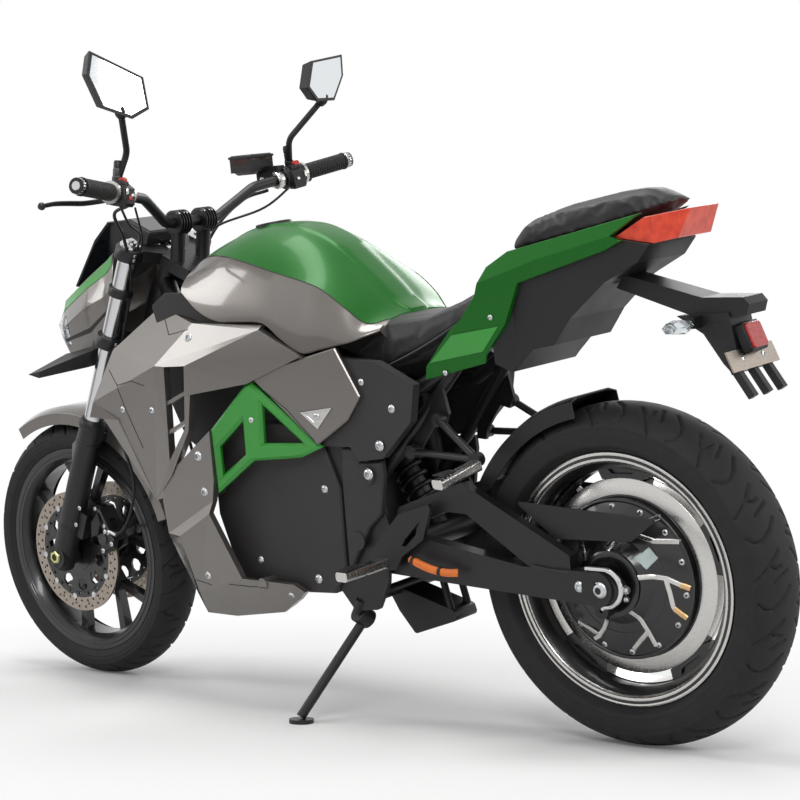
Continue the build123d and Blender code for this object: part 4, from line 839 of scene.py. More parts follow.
# Red caps: glossier than the housings, clouded by thumbs.
red_button = finish("moulded_red_button", "C22A22", tint=(5, 2, "B02019", "D84038"), Roughness=0.35)
left_buttons = joined(block(at_bar(142, 14, 26), 13, 16, 11, 2.5), block(at_bar(140, 31, -10), 11, 6, 9, 2))
right_buttons = other_side(joined(block(at_bar(136, 12, 26), 17, 18, 12, 3)))
shape("switch_buttons", "steering", joined(left_buttons, right_buttons), red_button, 40)
toggles = joined(block(at_bar(149, 32, -4), 9, 7, 8, 2), block(at_bar(130, 32, 2), 8, 6, 14, 2))
shape("switch_toggles", "steering", both(toggles), turned_alloy, 40)
perch = Vector(at_bar(170, 0, 0))
perch_body = joined(lathe([(12, 161.5), (18, 161.5), (19, 163), (19, 179), (18, 180.5), (12, 180.5)], BAR_TIP,
                          BAR_IN, 32),
                    tube([perch + Vector((6, 6, -2)), perch + Vector((24, 8, -4)),
                          perch + Vector((40, 12, -4))], [15, 14, 11], 16, 0.7),
                    tube([perch + Vector((20, 30, -3)), perch + Vector((26, -26, -1))], [9.5, 9.5], 18))
shape("lever_perches", "steering", both(perch_body), turned_alloy, 40)
LEVER = [(34, 10, -4), (52, 26, -6), (62, 60, -7), (60, 100, -4), (58, 138, -2), (64, 166, -4)]
lever_run = spline([perch + Vector(p) for p in LEVER], 8)
lever_width = [7.2 - 1.6 * k / (len(lever_run) - 1) for k in range(len(lever_run))]
tip = lever_run[-1]
ball = lathe([(0, -8), (4.5, -6.6), (7.4, -3), (8.0, 0), (7.4, 3), (4.5, 6.6), (0, 8)], tip,
             (lever_run[-1] - lever_run[-3]), 18)
pivot = lathe([(0, -10), (9, -10), (9, -7), (7, -6), (7, 6), (9, 7), (9, 10), (0, 10)],
              perch + Vector((36, 12, -4)), (0, 0, 1), 18)
shape("cast_levers", "steering", both(joined(tube(lever_run, lever_width, 12, 0.62), ball, pivot)),
      cast_black, 50, ["hand_levers"])

# Bar clamp and brake reservoir: the clamp is cast with ribs and held by screws; the reservoir is a
# small moulded pot with a black lid on the right bar.
ribs, clamp_screws = [], []
for y in (22, 29.5, 37, 44.5, 52):
    ribs.append(lathe([(22.0, y - 1.6), (26.0, y - 1.2), (26.0, y + 1.2), (22.0, y + 1.6)], (1035, 0, 1010),
                      LEFT, 28))
for y in (26, 48):
    clamp_screws.append(domed_bolt((1022, y, 1029), (-0.45, 0, 0.9), 5.0))
    clamp_screws.append(domed_bolt((1050, y, 1026), (0.45, 0, 0.9), 5.0))
shape("bar_clamp_ribs", "steering", both(joined(*ribs)), cast_black, 40)
shape("bar_clamp_screws", "steering", both(joined(*clamp_screws)), bright_zinc)
# Translucent brown polyamide, darker where the fluid stands behind it.
amber_pot = finish("brake_fluid_polyamide", "3A2422", tint=(20, 1, "2A1A18", "553431"), Roughness=0.25,
                   Specular_IOR_Level=0.5)
OCTAGON = [(-1, -0.8), (-0.8, -1), (0.8, -1), (1, -0.8), (1, 0.8), (0.8, 1), (-0.8, 1), (-1, 0.8)]
pot = [[(1040 + a * (27 + lift), -205 + b * (34 + lift), z) for a, b in OCTAGON]
       for z, lift in ((1093, -6.0), (1099, 0.0), (1128, 3.6), (1130, 3.6))]
shape("brake_fluid_pot", "steering", skin(pot, closed=True, ends=True), amber_pot, 30)
lid = [[(1040 + a * (33 + lift), -205 + b * (39 + lift), z) for a, b in OCTAGON]
       for z, lift in ((1128, -1.0), (1129, 0.0), (1134, 0.0), (1136.5, -3.0), (1136.5, -9.0))]
shape("brake_fluid_lid", "steering", skin(lid, closed=True, ends=True), black_abs, 30)

# Mirrors: black moulded shells on steel stems, each screwed to its clamp by a hexagon foot and turning
# on a ball joint; the glass is silvered.
# Silvered glass: a clean mirror, with a faint film of dust.
silvered = finish("silvered_glass", "E3E6E8", rough=(80, 2, 0.01, 0.06), Metallic=1, Roughness=0.02)
dress(["mirror_glass"], silvered)
stem_foot = at_bar(140, 0, 24)
stem_nut = joined(lathe([(0, 0), (11, 0), (11, 9), (9.5, 11), (9.5, 24), (7.5, 30), (6.4, 34)], stem_foot,
                        (-0.05, -0.15, 1), 6),
                  lathe([(6, 26), (8.6, 28), (8.6, 38), (7, 42), (6.4, 42)], stem_foot, (-0.05, -0.15, 1),
                        24))
shape("mirror_stem_nuts", "steering", both(stem_nut), cast_black, 30)
joint_at = Vector((896, 292, 1236))
ball_joint = [(6.4, -12), (9, -10), (12, -2), (12, 4), (9, 12), (6.4, 16)]
shape("mirror_ball_joints", "steering", both(lathe(ball_joint, joint_at, (-0.4, 0.5, 0.8), 20)),
      black_abs, 50)

# Dash: a glass face in a black moulded bezel, tilted to the rider, which turns with the fork.
# Cover glass: black and glossy, smeared by fingers.
glass_black = finish("display_cover_glass", "0B0D10", rough=(35, 3, 0.04, 0.16), Roughness=0.08,
                     Coat_Weight=0.6, Coat_Roughness=0.03)


def fork_box(ahead, y, low, high):
    """Bevelled box in the fork's frame: (from, to) ahead, (from, to) across, and its height."""
    rows = []
    for up, cut in ((low, 0.0), (high - 1.5, 0.0), (high, 1.5)):
        rows.append([on_fork(a, b, up) for a, b in ((ahead[0] + cut, y[0] + cut),
                                                    (ahead[1] - cut, y[0] + cut),
                                                    (ahead[1] - cut, y[1] - cut),
                                                    (ahead[0] + cut, y[1] - cut))])
    return skin(rows, closed=True, ends=True)


shape("dash_bezel", "steering", fork_box((28, 104), (-55, 55), 776.0, 779.0), black_abs)
shape("dash_glass", "steering", fork_box((33, 99), (-49, 49), 779.0, 781.0), glass_black)

# Nose and fairings: metallic lacquer over ABS, with a green stripe and a smoked screen. The lacquer is
# warm grey with fine bright flakes under a thick clear coat.
titanium, tree, surface = new_finish("metallic_lacquer_titanium", "5E5853", Metallic=0.7, Roughness=0.34,
                                     Coat_Weight=1.0, Coat_Roughness=0.06)
at = upright(tree)
flake = add(tree, "ShaderNodeTexNoise", {"Vector": at, "Scale": per_metre(1.2), "Detail": 1.0})
shade = add(tree, "ShaderNodeTexNoise", {"Vector": at, "Scale": per_metre(260), "Detail": 2.0})
warm = add(tree, "ShaderNodeMix", {"Factor": shade.outputs["Fac"], "A": linear("544D47"),
                                   "B": linear("66625F")}, data_type="RGBA")
tint = add(tree, "ShaderNodeMix", {"Factor": flake.outputs["Fac"], "A": warm.outputs["Result"],
                                   "B": linear("79746F")}, data_type="RGBA")
tree.links.new(tint.outputs["Result"], surface.inputs["Base Color"])
dress(["side_strips", "upper_fairings", "lower_cowl", "headlight_cowl"], titanium, 1.8)
dress(["front_fender"], titanium, 0.8, 40)

# Green lacquer: a deep metallic green with fine flakes, under a thin clear coat.
green = finish("metallic_lacquer_green", "0C5A12", tint=(1.2, 1, "074A0C", "14701A"), Metallic=0.25,
               Roughness=0.42, Specular_IOR_Level=0.25, Coat_Weight=0.22, Coat_Roughness=0.1, Coat_IOR=1.35)
# The brighter green of the trim, solid and softer in shine.
bright_green = finish("solid_lacquer_green", "1A8A1C", tint=(150, 2, "18801C", "2C9A2C"), Roughness=0.4,
                      Coat_Weight=0.4, Coat_Roughness=0.06)
dress(["green_trim"], bright_green, 1.2)

NOSE = [  # x, then half width and height of the low edge, the belt, the stripe, and the crown height
    (1196, 92, 862, 96, 892, 84, 957, 971), (1220, 94, 806, 98, 866, 82, 942, 958),
    (1285, 86, 748, 98, 846, 82, 908, 932),
    (1400, 58, 744, 72, 800, 50, 860, 880), (1448, 30, 772, 38, 804, 20, 828, 840),
]


def on_nose(share, low, lift):
    """Row of points along the nose between two of its edges: belt to stripe, or low edge to belt."""
    row = []
    for x, y_low, z_low, y_belt, z_belt, y_top, z_top, crown in NOSE:
        (ya, za), (yb, zb) = ((y_low, z_low), (y_belt, z_belt)) if low else ((y_belt, z_belt), (y_top, z_top))
        y, z = ya + (yb - ya) * share, za + (zb - za) * share
        out = Vector((zb - za, ya - yb)).normalized()
        row.append((x + 0.5 * lift, y + out.x * lift, z + out.y * lift))
    return row


stripe = skin([on_nose(0.62, False, -1.0), on_nose(0.64, False, 1.3), on_nose(0.96, False, 1.3),
               on_nose(0.98, False, -1.0)])
shape("nose_stripes", "steering", both(stripe), bright_green, 30)
slot_line = skin([on_nose(0.42, True, -1.0), on_nose(0.44, True, 0.5), on_nose(0.54, True, 0.5),
                  on_nose(0.56, True, -1.0)])
shape("nose_side_slots", "steering", both(slot_line), black_abs, 30)
# Smoked acrylic: dark, clear and glossy, a little uneven in tone.
smoked = finish("acrylic_smoked", "0C0E11", tint=(120, 1, "090B0E", "1A1E24"), Roughness=0.05,
                Transmission_Weight=0.55, Coat_Weight=0.5)
dress(["windscreen"], smoked, 0.5)
screen_screws = [domed_bolt((1262, y, 984), (0.7, 0, 0.72), 5.0) for y in (-52, 52)]
shape("screen_screws", "steering", joined(*screen_screws), bright_zinc)

# Headlight: a polycarbonate lens over a black moulded housing, with two lamp bowls and a narrow light
# bar inside, clipped into the nose.
# Clear polycarbonate, with a light haze from washing.
clear = finish("polycarbonate_clear", "DDE3E6", rough=(45, 2, 0.02, 0.09), Roughness=0.04,
               Transmission_Weight=0.9, IOR=1.58)
dress(["headlight_lens", "rear_indicators"], clear)
# Vacuum metallised bowls: bright, slightly rippled.
bowl_bright = finish("vacuum_metallised_reflector", "D4D6D8", bump=(6, 1, 0.4, 0.001), Metallic=1,
                     Roughness=0.12)
lamp_wall = [(1372, -60, 770), (1372, 60, 770), (1372, 66, 812), (1388, 44, 848), (1388, -44, 848),
             (1372, -66, 812)]
wall = skin([[Vector(p) + Vector((-6, 0, 0)) for p in lamp_wall], lamp_wall,
             [Vector(p) * 0.9 + Vector((137.2 + 4, 0, 81)) for p in lamp_wall]], closed=True, ends=True)
shape("lamp_housing", "steering", wall, black_abs, 30)
bowls = []
for y in (-26.0, 26.0):
    bowls.append(lathe([(21, 12), (22.5, 12), (22.5, 0), (0, 0)], (1380, y, 800), (1, 0, 0.05), 32))
    bowls.append(lathe([(21, 11.5), (18, 4), (10, 1.6), (9, 1.5), (8, 6), (4, 8), (0, 8.4)], (1380, y, 800),
                       (1, 0, 0.05), 32))
bowls.append(skin([[(1384, y, 832), (1388, y, 834), (1388, y, 838), (1384, y, 838)] for y in (-38, 38)],
                  closed=True, ends=True))
shape("lamp_bowls", "steering", joined(*bowls), bowl_bright, 40)

# Fairing details: the lines scored in the folded panels, drawn as fine dark bars of painted shade, and the
# dome head screws that hold the panels to the frame.
# The bottom of a scored line: painted shade, dark and matt, with some dirt.
engraved = finish("engraved_line_shadow", "1B1A19", tint=(12, 2, "141312", "2C2A28"), Roughness=0.7)


def on_node(name, x, z, side=1):
    """Point and normal where a line across the upright machine meets a CAD node's outside."""
    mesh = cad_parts[name].data
    tree = trees.get(name) or BVHTree.FromPolygons([v.co for v in mesh.vertices],
                                                   [tuple(p.vertices) for p in mesh.polygons])
    trees[name] = tree
    start = STANCE @ (Vector((x, side * 600.0, z)) * 0.001)
    ray = STANCE.to_3x3() @ Vector((0, -side, 0))
    hit, normal = tree.ray_cast(start, ray)[:2]
    if hit is None:
        return None, None
    back = STANCE.inverted()
    flat = back.to_3x3() @ normal
    return back @ hit * 1000, (flat if flat.y * side > 0 else -flat)


trees = {}


def scored(name, points, radius, side=1):
    """Line scored in a panel: a fine bar that follows its surface, half sunk in it."""
    run = []
    for a, b in zip(points, points[1:]):
        for k in range(7):
            spot, normal = on_node(name, a[0] + (b[0] - a[0]) * k / 6, a[1] + (b[1] - a[1]) * k / 6, side)
            if spot is not None:
                run.append(spot)
    return tube(run, radius, 6)


def screws_on(name, table):
    """Dome head screws where they stand on a panel, on both sides."""
    made = []
    for x, z, radius in table:
        for side in (1, -1):
            spot, normal = on_node(name, x, z, side)
            if spot is not None:
                made.append(domed_bolt(spot - normal * 0.4, normal, radius))
    return made


panel_screws = screws_on("upper_fairings", [(895, 785, 8), (1006, 640, 6), (1100, 640, 6)])
panel_screws += screws_on("lower_cowl", [(886, 548, 9), (880, 475, 8), (700, 268, 6), (905, 300, 7)])
panel_screws += screws_on("side_strips", [(577, 628, 6)])
panel_screws += screws_on("green_trim", [(741, 620, 5)])
shape("panel_screws", "chassis", joined(*panel_screws), bright_zinc)
LINES = [  # node, points of the side view, radius
    ("upper_fairings", [(1150, 720), (1110, 690), (1060, 700), (1020, 690)], 1.0),
    ("upper_fairings", [(1110, 690), (1090, 640), (1050, 560)], 1.0),
    ("upper_fairings", [(1000, 830), (960, 790), (900, 800)], 0.9),
    ("lower_cowl", [(850, 285), (800, 282), (750, 284)], 1.0),
    ("lower_cowl", [(985, 330), (950, 290), (900, 280)], 1.0),
    ("side_strips", [(737, 703), (650, 640), (590, 580)], 0.9),
]
lines = []
for name, points, radius in LINES:
    for side in (1, -1):
        lines.append(scored(name, points, radius, side))
shape("scored_lines", "chassis", joined(*[line for line in lines if line[0]]), engraved)

# Tank cover: moulded ABS shells in two colours, silver flanks under a green crown with a raised spine,
# meeting at a dark parting line. The charge port has a round black cap.
TANK = [  # x, then half width and height of the low edge and of the colour line, and the crown height
    (934, 150, 871, 106, 918, 940), (887, 160, 836, 112, 938, 966), (832, 166, 813, 124, 939, 984),
    (770, 168, 810, 133, 927, 992),
    (702, 169, 806, 140, 909, 986), (655, 171, 774, 143, 896, 972), (607, 171, 747, 144, 883, 946),
    (560, 168, 753, 144, 866, 908),
    (510, 162, 761, 138, 828, 864), (474, 148, 770, 122, 796, 830), (444, 122, 780, 90, 800, 812),
]


def tank_row(x, y_low, z_low, y_line, z_line, crown, flank):
    """Points across the tank at one station: up the flank, or from the colour line over to the spine."""
    if flank:
        row = [(x, y_low - 13, z_low + 6), (x, y_low - 2.0, z_low)]
        return row + [(x, y_low + (y_line - y_low) * (k / 6) ** 1.7,
                       z_low + 2.5 + (z_line - z_low - 2.5) * k / 6) for k in range(7)]
    row = [(x, y_line, z_line)]
    for k in range(1, 8):
        rise = math.sin(k / 8 * math.pi / 2) ** 0.95
        row.append((x, y_line * (1 - 0.7 * k / 7), z_line + (crown - 4 - z_line) * rise))
    return row + [(x, y_line * 0.28, crown - 3.6), (x, y_line * 0.25, crown), (x, y_line * 0.12, crown + 0.8),
                  (x, 0.0, crown + 1.0)]


def tank_skin(flank):
    """Half of the tank's shell, smoothed along its length and folded down at both ends."""
    rows = [tank_row(*station, flank) for station in TANK]
    columns = [spline([row[k] for row in rows], 4) for k in range(len(rows[0]))]
    rows = [list(row) for row in zip(*columns)]
    front = [(p.x + 4, p.y * 0.94, p.z - 14) for p in rows[0]]
    back = [(p.x - 6, p.y * 0.92, p.z - 16) for p in rows[-1]]
    return skin([front] + rows + [back])


def soften(piece, width, angle=22.0):
    """Small round on the folded edges of a mesh piece, as moulding leaves."""
    edge = piece.modifiers.new("edge", "BEVEL")
    edge.width = width / 1000
    edge.segments = 2
    edge.limit_method = "ANGLE"
    edge.angle_limit = math.radians(angle)
    edge.harden_normals = True


shape("tank_flanks", "chassis", both(tank_skin(True)), titanium, 32, ["tank_sides"])
shape("tank_crown", "chassis", both(tank_skin(False)), green, 32, ["tank_top"])
tank_line = spline([(x, y_line + 0.6, z_line) for x, y_low, z_low, y_line, z_line, crown in TANK], 4)
shape("tank_parting_line", "chassis", both(tube(tank_line, 0.9, 6)), engraved)
CHARGE_CAP = [(0, 2.5), (26, 2.5), (28, 1.5), (30, 1.5), (33, 3.5), (36, 3.5), (37, 2.0), (37, -8.0),
              (0, -8.0)]
shape("charge_port_cap", "chassis", lathe(CHARGE_CAP, (800, 0, 990), (0.12, 0, 1), 48), black_abs,
      40)

# Seats: foam pads under black vinyl, with piping along their lower edges. They are blown up by cloth so
# that they crown between their edges; the vinyl has fine pores and soft wrinkles.
vinyl, tree, surface = new_finish("seat_vinyl_black", "131314", Roughness=0.5, Specular_IOR_Level=0.42,
                                  Sheen_Weight=0.08, Sheen_Roughness=0.5)
at = upright(tree)
pores = add(tree, "ShaderNodeTexVoronoi", {"Vector": at, "Scale": per_metre(1.6)})
folds = add(tree, "ShaderNodeTexNoise", {"Vector": at, "Scale": per_metre(45), "Detail": 3.0})
worn = add(tree, "ShaderNodeTexNoise", {"Vector": at, "Scale": per_metre(150), "Detail": 2.0})
rough = add(tree, "ShaderNodeMapRange", {"Value": worn.outputs["Fac"], "To Min": 0.4, "To Max": 0.6})
tint = add(tree, "ShaderNodeMix", {"Factor": worn.outputs["Fac"], "A": linear("0F0F10"),
                                   "B": linear("1B1A1B")}, data_type="RGBA")
broad = add(tree, "ShaderNodeBump", {"Height": folds.outputs["Fac"], "Strength": 0.25, "Distance": 0.004})
bump = add(tree, "ShaderNodeBump", {"Height": pores.outputs["Distance"], "Normal": broad.outputs["Normal"],
                                    "Strength": 0.22, "Distance": 0.0005})
tree.links.new(tint.outputs["Result"], surface.inputs["Base Color"])
tree.links.new(rough.outputs["Result"], surface.inputs["Roughness"])
tree.links.new(bump.outputs["Normal"], surface.inputs["Normal"])
RIDER_PAD = [  # x, half width and height of the low edge and of the shoulder, and the crown height
    (540, 84, 738, 76, 749, 750), (494, 108, 722, 96, 760, 761), (461, 116, 718, 104, 769, 770),
    (448, 118, 716, 106, 792, 800),
    (425, 121, 717, 110, 792, 799), (340, 126, 749, 118, 798, 801), (270, 128, 781, 116, 820, 826),
    (226, 119, 806, 96, 845, 849),
    (188, 105, 850, 82, 892, 897),
]
PILLION_PAD = [
    (154, 82, 912, 72, 930, 934), (130, 82, 915, 70, 953, 962), (40, 78, 932, 66, 971, 983),
    (-60, 68, 949, 55, 987, 998),
    (-112, 56, 963, 43, 990, 1001), (-160, 36, 979, 26, 984, 987),
]


def cushion(name, stations, node, cap, ridges=()):
    """Foam pad: a lofted form, blown up by cloth, capped, then pressed in along its sewn lines."""
    rows = []
    for x, y_low, z_low, y_top, z_top, crown in stations:
        half = [(y_low - 8, z_low), (y_low, z_low + 3), ((y_low + y_top) / 2 + 2, (z_low + z_top) / 2),
                (y_top, z_top - 2), (y_top * 0.55, crown - 1), (0, crown)]
        rows.append([(x, y, z) for y, z in half] + [(x, -y, z) for y, z in reversed(half[:-1])])
    pad = shape(name, "chassis", skin(rows, closed=True, ends=True), vinyl, 60, [node])
    bpy.context.view_layer.objects.active = pad
    remesh = pad.modifiers.new("remesh", "REMESH")
    remesh.mode = "VOXEL"
    remesh.voxel_size = 0.005
    settled = bpy.data.meshes.new_from_object(pad.evaluated_get(bpy.context.evaluated_depsgraph_get()))
    pad.modifiers.clear()
    pad.data = settled
    start = [v.co.copy() for v in settled.vertices]
    cloth = pad.modifiers.new("cloth", "CLOTH")
    cloth.settings.use_pressure = True
    cloth.settings.uniform_pressure_force = 4.0
    cloth.settings.effector_weights.gravity = 0.0
    cloth.settings.tension_stiffness = 25.0
    cloth.settings.compression_stiffness = 25.0
    cloth.settings.bending_stiffness = 2.0
    for step in range(1, 21):
        scene.frame_set(step)
    blown = pad.evaluated_get(bpy.context.evaluated_depsgraph_get()).to_mesh()
    swollen = [v.co.copy() for v in blown.vertices]
    pad.modifiers.clear()
    scene.frame_set(1)
    back = STANCE.inverted()
    for vertex, before, after in zip(settled.vertices, start, swollen):
        change = after - before
        low = (back @ before).z * 1000
        limit = cap / 1000
        if change.length > limit:
            change *= limit / change.length
        spot = back @ (before + change)
        for x_at, z_from, deep in ridges:
            near = math.exp(-(((spot.x * 1000 - x_at) / 3.4) ** 2))
            spot.z -= near * deep / 1000 if low > z_from else 0.0
        vertex.co = STANCE @ spot
    bpy.context.view_layer.update()
    smooth = pad.modifiers.new("subdivide", "SUBSURF")
    smooth.levels = smooth.render_levels = 1
    pad.data.materials.clear()
    pad.data.materials.append(vinyl)
    pad.data.shade_smooth()
    return pad


cushion("rider_cushion", RIDER_PAD, "rider_seat", 6.0, [(452, 760, 3.0)])
cushion("pillion_cushion", PILLION_PAD, "pillion_seat", 6.0,
        [(112, 940, 3.5), (98, 940, 3.5), (84, 940, 3.5)])
piping = spline([(x, y_low + 3.0, z_low + 1.0) for x, y_low, z_low, y_top, z_top, crown in RIDER_PAD[1:]], 6)
piping_back = spline([(x, y_low + 3.0, z_low + 1.0)
                      for x, y_low, z_low, y_top, z_top, crown in PILLION_PAD[:-1]], 6)
shape("seat_piping", "chassis", both(joined(tube(piping, 2.4, 8), tube(piping_back, 2.2, 8))), vinyl)

# Tail panels: folded and lacquered mouldings on each side, screwed to the undertray, with a bright
# green wedge let into each.
TAIL_PLAN = [(350, 146), (240, 136), (150, 110), (-135, 89)]


def tail_at(x, z, inwards):
    """Point on the left tail panel, its distance inwards from the widest plan given."""
    for (x_a, y_a), (x_b, y_b) in zip(TAIL_PLAN, TAIL_PLAN[1:]):
        if x >= x_b:
            break
    return Vector((x, y_a + (y_b - y_a) * (x_a - x) / (x_a - x_b) - inwards, z))


TAIL_EDGE = [(149, 915, 9), (20, 939, 9), (-122, 966, 8), (-64, 930, 1), (-85, 921, 2), (-50, 906, 3),
             (35, 883, 3), (129, 858, 2), (159, 787, 0.4),
             (203, 733, 7), (207, 717, 10), (335, 690, 10), (329, 715, 7), (270, 777, 0.4), (241, 800, 1),
             (212, 840, 1), (205, 862, 0), (190, 890, 9)]
TAIL_FACETS = [
    [(190, 890, 9), (149, 915, 9), (20, 939, 9), (80, 899, 0), (205, 862, 0)],
    [(20, 939, 9), (-122, 966, 8), (-64, 930, 1), (80, 899, 0)],
    [(205, 862, 0), (80, 899, 0), (129, 858, 2), (159, 787, 0.4), (212, 840, 1)],
    [(80, 899, 0), (-64, 930, 1), (-85, 921, 2), (-50, 906, 3), (35, 883, 3), (129, 858, 2)],
    [(212, 840, 1), (159, 787, 0.4), (270, 777, 0.4), (241, 800, 1)],
    [(203, 733, 7), (329, 715, 7), (335, 690, 10), (207, 717, 10)],
]
WEDGE = [(270, 777, 0.4), (159, 787, 0.4), (203, 733, 7), (329, 715, 7)]
points, faces = [], []
for ring in TAIL_FACETS + [WEDGE]:
    faces.append(list(range(len(points), len(points) + len(ring))))
    points += [tail_at(*corner) for corner in ring]
panel = (points, faces)
outer = [tail_at(*corner) for corner in TAIL_EDGE]
inner = [tail_at(x, z, 11.8) for x, z, inwards in TAIL_EDGE]
panel = joined(panel, skin([outer + outer[:1], inner + inner[:1]]))
soften(shape("tail_shells", "chassis", both(panel), green, 12, ["tail_panels"]), 1.2, 8)
WEDGE_INSERT = [(262, 772, 0.9), (172, 783, 0.9), (208, 739, 6.4), (318, 722, 6.4)]
wedge = [tail_at(x, z, inwards - 1.2) for x, z, inwards in WEDGE_INSERT]
wedge_form = skin([[p - Vector((0, 2, 0)) for p in wedge], wedge], closed=True, ends=True)
shape("tail_wedges", "chassis", both(wedge_form), bright_green, 20)
TAIL_SCREWS = [(185, 800, 0.5), (290, 702, 9.0), (120, 890, 0.5)]
tail_screws = [domed_bolt(tail_at(x, z, inwards), (0, 1, 0), 4.5) for x, z, inwards in TAIL_SCREWS]
shape("tail_screws", "chassis", both(joined(*tail_screws)), bright_zinc)

# Tail lamp: a red acrylic lens clipped to the undertray. It is glossy, with moulded prisms and paler
# red where the lamps lie behind it.
red_acrylic, tree, surface = new_finish("acrylic_red_lens", "E0301C", Roughness=0.08, Coat_Weight=0.6,
                                        Coat_Roughness=0.03)
at = upright(tree)
prism = add(tree, "ShaderNodeTexBrick", {"Vector": at, "Scale": per_metre(60), "Mortar Size": 0.03})
led = add(tree, "ShaderNodeTexNoise", {"Vector": at, "Scale": per_metre(18), "Detail": 1.0})
tint = add(tree, "ShaderNodeMix", {"Factor": led.outputs["Fac"], "A": linear("C0180E"),
                                   "B": linear("FF5A30")}, data_type="RGBA")
bump = add(tree, "ShaderNodeBump", {"Height": prism.outputs["Fac"], "Strength": 0.35, "Distance": 0.001})
tree.links.new(tint.outputs["Result"], surface.inputs["Base Color"])
tree.links.new(bump.outputs["Normal"], surface.inputs["Normal"])
dress(["tail_light"], red_acrylic, 1.5)

# Foot pegs: cast alloy, pinned to their brackets.
dress(["foot_pegs"], turned_alloy, 0.8)

# Shock absorber, motor lead, reflector and badge plates: bought-in parts. The spring is coated steel
# round a bright body, the lead's jacket is orange, and the plates are bare metal.
coil = [Vector((448, 0, 384)).lerp(Vector((554, 0, 566)), 0.14 + 0.72 * k / 160) for k in range(161)]
along = (Vector((554, 0, 566)) - Vector((448, 0, 384))).normalized()
across = Vector((along.z, 0, -along.x))
spring = [p + across * 27 * math.cos(k * math.tau / 23) + Vector((0, 27, 0)) * math.sin(k * math.tau / 23)
          for k, p in enumerate(coil)]
shape("shock_spring", "chassis", tube(spring, 5.2, 10), powder_coat, 60)
shock = [(0, 12), (24, 12), (34, 16), (34, 22), (26, 26), (21, 30), (21, 92), (11, 94), (11, 176), (33, 180),
         (33, 186), (24, 194), (0, 194)]
shape("shock_body", "chassis", lathe(shock, (448, 0, 384), along, 32), turned_alloy, 35)
lead = spline([(398, 150, 352), (380, 158, 350), (350, 158, 340), (318, 152, 333), (298, 140, 331)], 8)
shape("motor_lead", "chassis", tube(lead, 7.5, 14), orange, 60)
clips = [tube([p, p + Vector((6, 0.5, 1))], 9.2, 14) for p in (lead[6], lead[22])]
shape("lead_clips", "chassis", joined(*clips), black_abs, 40)
# Reflex cells: deep red, with a painted glint in each cell, lighter in its middle and darker at its edge, as
# if each cell caught the light apart.
reflex = finish("moulded_reflex_reflector", "B41A16", tint=(3.5, "Voronoi", "D8302A", "8C100E"),
                bump=(3.5, "Voronoi", 0.5, 0.001), Roughness=0.12, Coat_Weight=0.5)
face = [(-26, 20), (-22, 24), (22, 24), (26, 20), (26, -20), (22, -24), (-22, -24), (-26, -20)]
backwards = Vector((-0.93, 0, 0.36)).normalized()
raised = Vector((0.36, 0, 0.93))
REFLECTOR_AT = Vector((-278, 0, 745))
rim = [[REFLECTOR_AT + backwards * depth + Vector((0, y * size, 0)) + raised * z * size for y, z in face]
       for depth, size in ((-16, 1.1), (0, 1.1), (2, 1.02))]
shape("reflector_housing", "chassis", skin(rim, closed=True, ends=True), black_abs, 30)
lens = [[REFLECTOR_AT + backwards * depth + Vector((0, y * size, 0)) + raised * z * size for y, z in face]
        for depth, size in ((0, 0.94), (4.5, 0.94), (6, 0.88))]
shape("reflector_lens", "chassis", skin(lens, closed=True, ends=True), reflex, 30)

BADGE = [(617, 635), (537, 644), (577, 602)]
plates, cores = [], []
for side in (1, -1):
    ring = [on_node("side_strips", x, z, side) for x, z in BADGE]
    spots = [spot + normal * 0.3 for spot, normal in ring if spot is not None]
    if len(spots) == 3:
        normal = (spots[1] - spots[0]).cross(spots[2] - spots[0]).normalized()
        normal = normal if normal.y * side > 0 else -normal
        middle = sum(spots, Vector()) / 3
        plates.append(skin([spots,
                            [middle + (p - middle) * 0.98 + normal * 2.2 for p in spots],
                            [middle + (p - middle) * 0.72 + normal * 2.2 for p in spots],
                            [middle + (p - middle) * 0.66 + normal * 0.4 for p in spots]],
                           closed=True, ends=True))
        cores.append(domed_bolt(middle + normal * 0.6, normal, 6.0))
shape("badge_plates", "chassis", joined(*plates), turned_alloy, 20)
shape("badge_screws", "chassis", joined(*cores), bright_zinc)

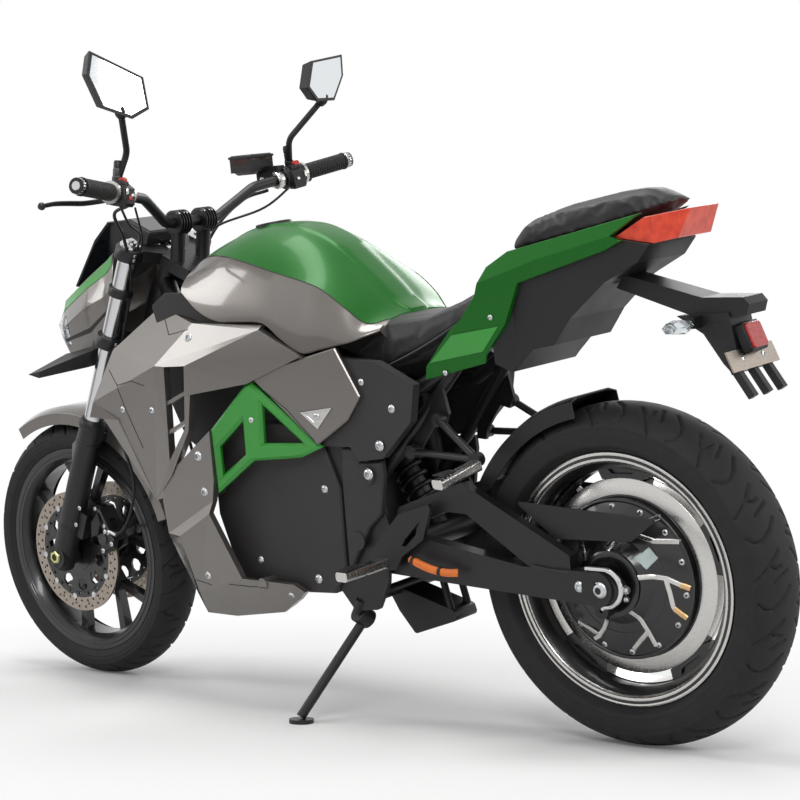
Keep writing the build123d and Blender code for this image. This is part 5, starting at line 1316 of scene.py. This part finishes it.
# Peg pads: six ribbed rubber blocks let into the top of each foot peg, near its tip, for grip.
pads = []
peg_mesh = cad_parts["foot_pegs"].data
back = STANCE.inverted()
spots = [back @ vertex.co * 1000 for vertex in peg_mesh.vertices]
for side in (1, -1):
    outer_ones = [p for p in spots if p.y * side > 0]
    for x_from, x_to in ((-1e9, 300), (300, 1e9)):
        group = [p for p in outer_ones if x_from < p.x <= x_to]
        if not group:
            continue
        tip = max(p.y * side for p in group)
        tips = [p for p in group if p.y * side > tip - 45]
        x_mid = (min(p.x for p in tips) + max(p.x for p in tips)) / 2
        top = max(p.z for p in tips)
        wide = max(p.x for p in tips) - min(p.x for p in tips)
        for k in range(6):
            y = side * (tip - 7 - 8.5 * k)
            pads.append(slab([(x_mid - wide * 0.4, top - 0.5), (x_mid + wide * 0.4, top - 0.5),
                              (x_mid + wide * 0.34, top + 2.6), (x_mid - wide * 0.34, top + 2.6)], y - 2.6,
                              y + 2.6))
shape("peg_pads", "chassis", joined(*pads), grip_rubber, 30)

# Plate carrier's arm: moulded, with sunk slots drawn as dark flat bars of painted shade, and two screws that
# hold the steel bracket on its end.
slots = []
for x, z, long in ((-52, 838, 26), (-92, 826, 26), (-132, 814, 26)):
    for y in (14, -14):
        slots.append(tube([(x, y, z + 2), (x - long, y, z + 2 - long * 0.36)], [3.4, 3.4], 8, 0.6))
shape("arm_slot_shade", "chassis", joined(*slots), engraved, 40)
bracket = [domed_bolt((-272, y, 708), (-1, 0, 0.2), 5.0) for y in (-34, 34)]
shape("bracket_screws", "chassis", joined(*bracket), bright_zinc)

# Swingarm ends: hexagon screws that set the rear axle, zinc plated.
adjust = []
for side in (1, -1):
    adjust.append(hex_bolt((-52, side * 118, 316), (-1, 0, 0), 6.5, 7.0))
    adjust.append(hex_bolt((-52, side * 118, 300), (-1, 0, 0), 4.5, 5.0))
shape("axle_adjusters", "chassis", joined(*adjust), bright_zinc)

# Shade sheets: black ABS sheets behind the fairing windows, put there as painted shade for the frame's
# inside.
SHADE_SHEET = [(840, 790), (1060, 800), (1092, 720), (1096, 640), (1060, 560), (1000, 520), (900, 500), (840, 560)]
shape("shade_sheets", "chassis", both(slab(SHADE_SHEET, 57, 60)), black_abs, 30)
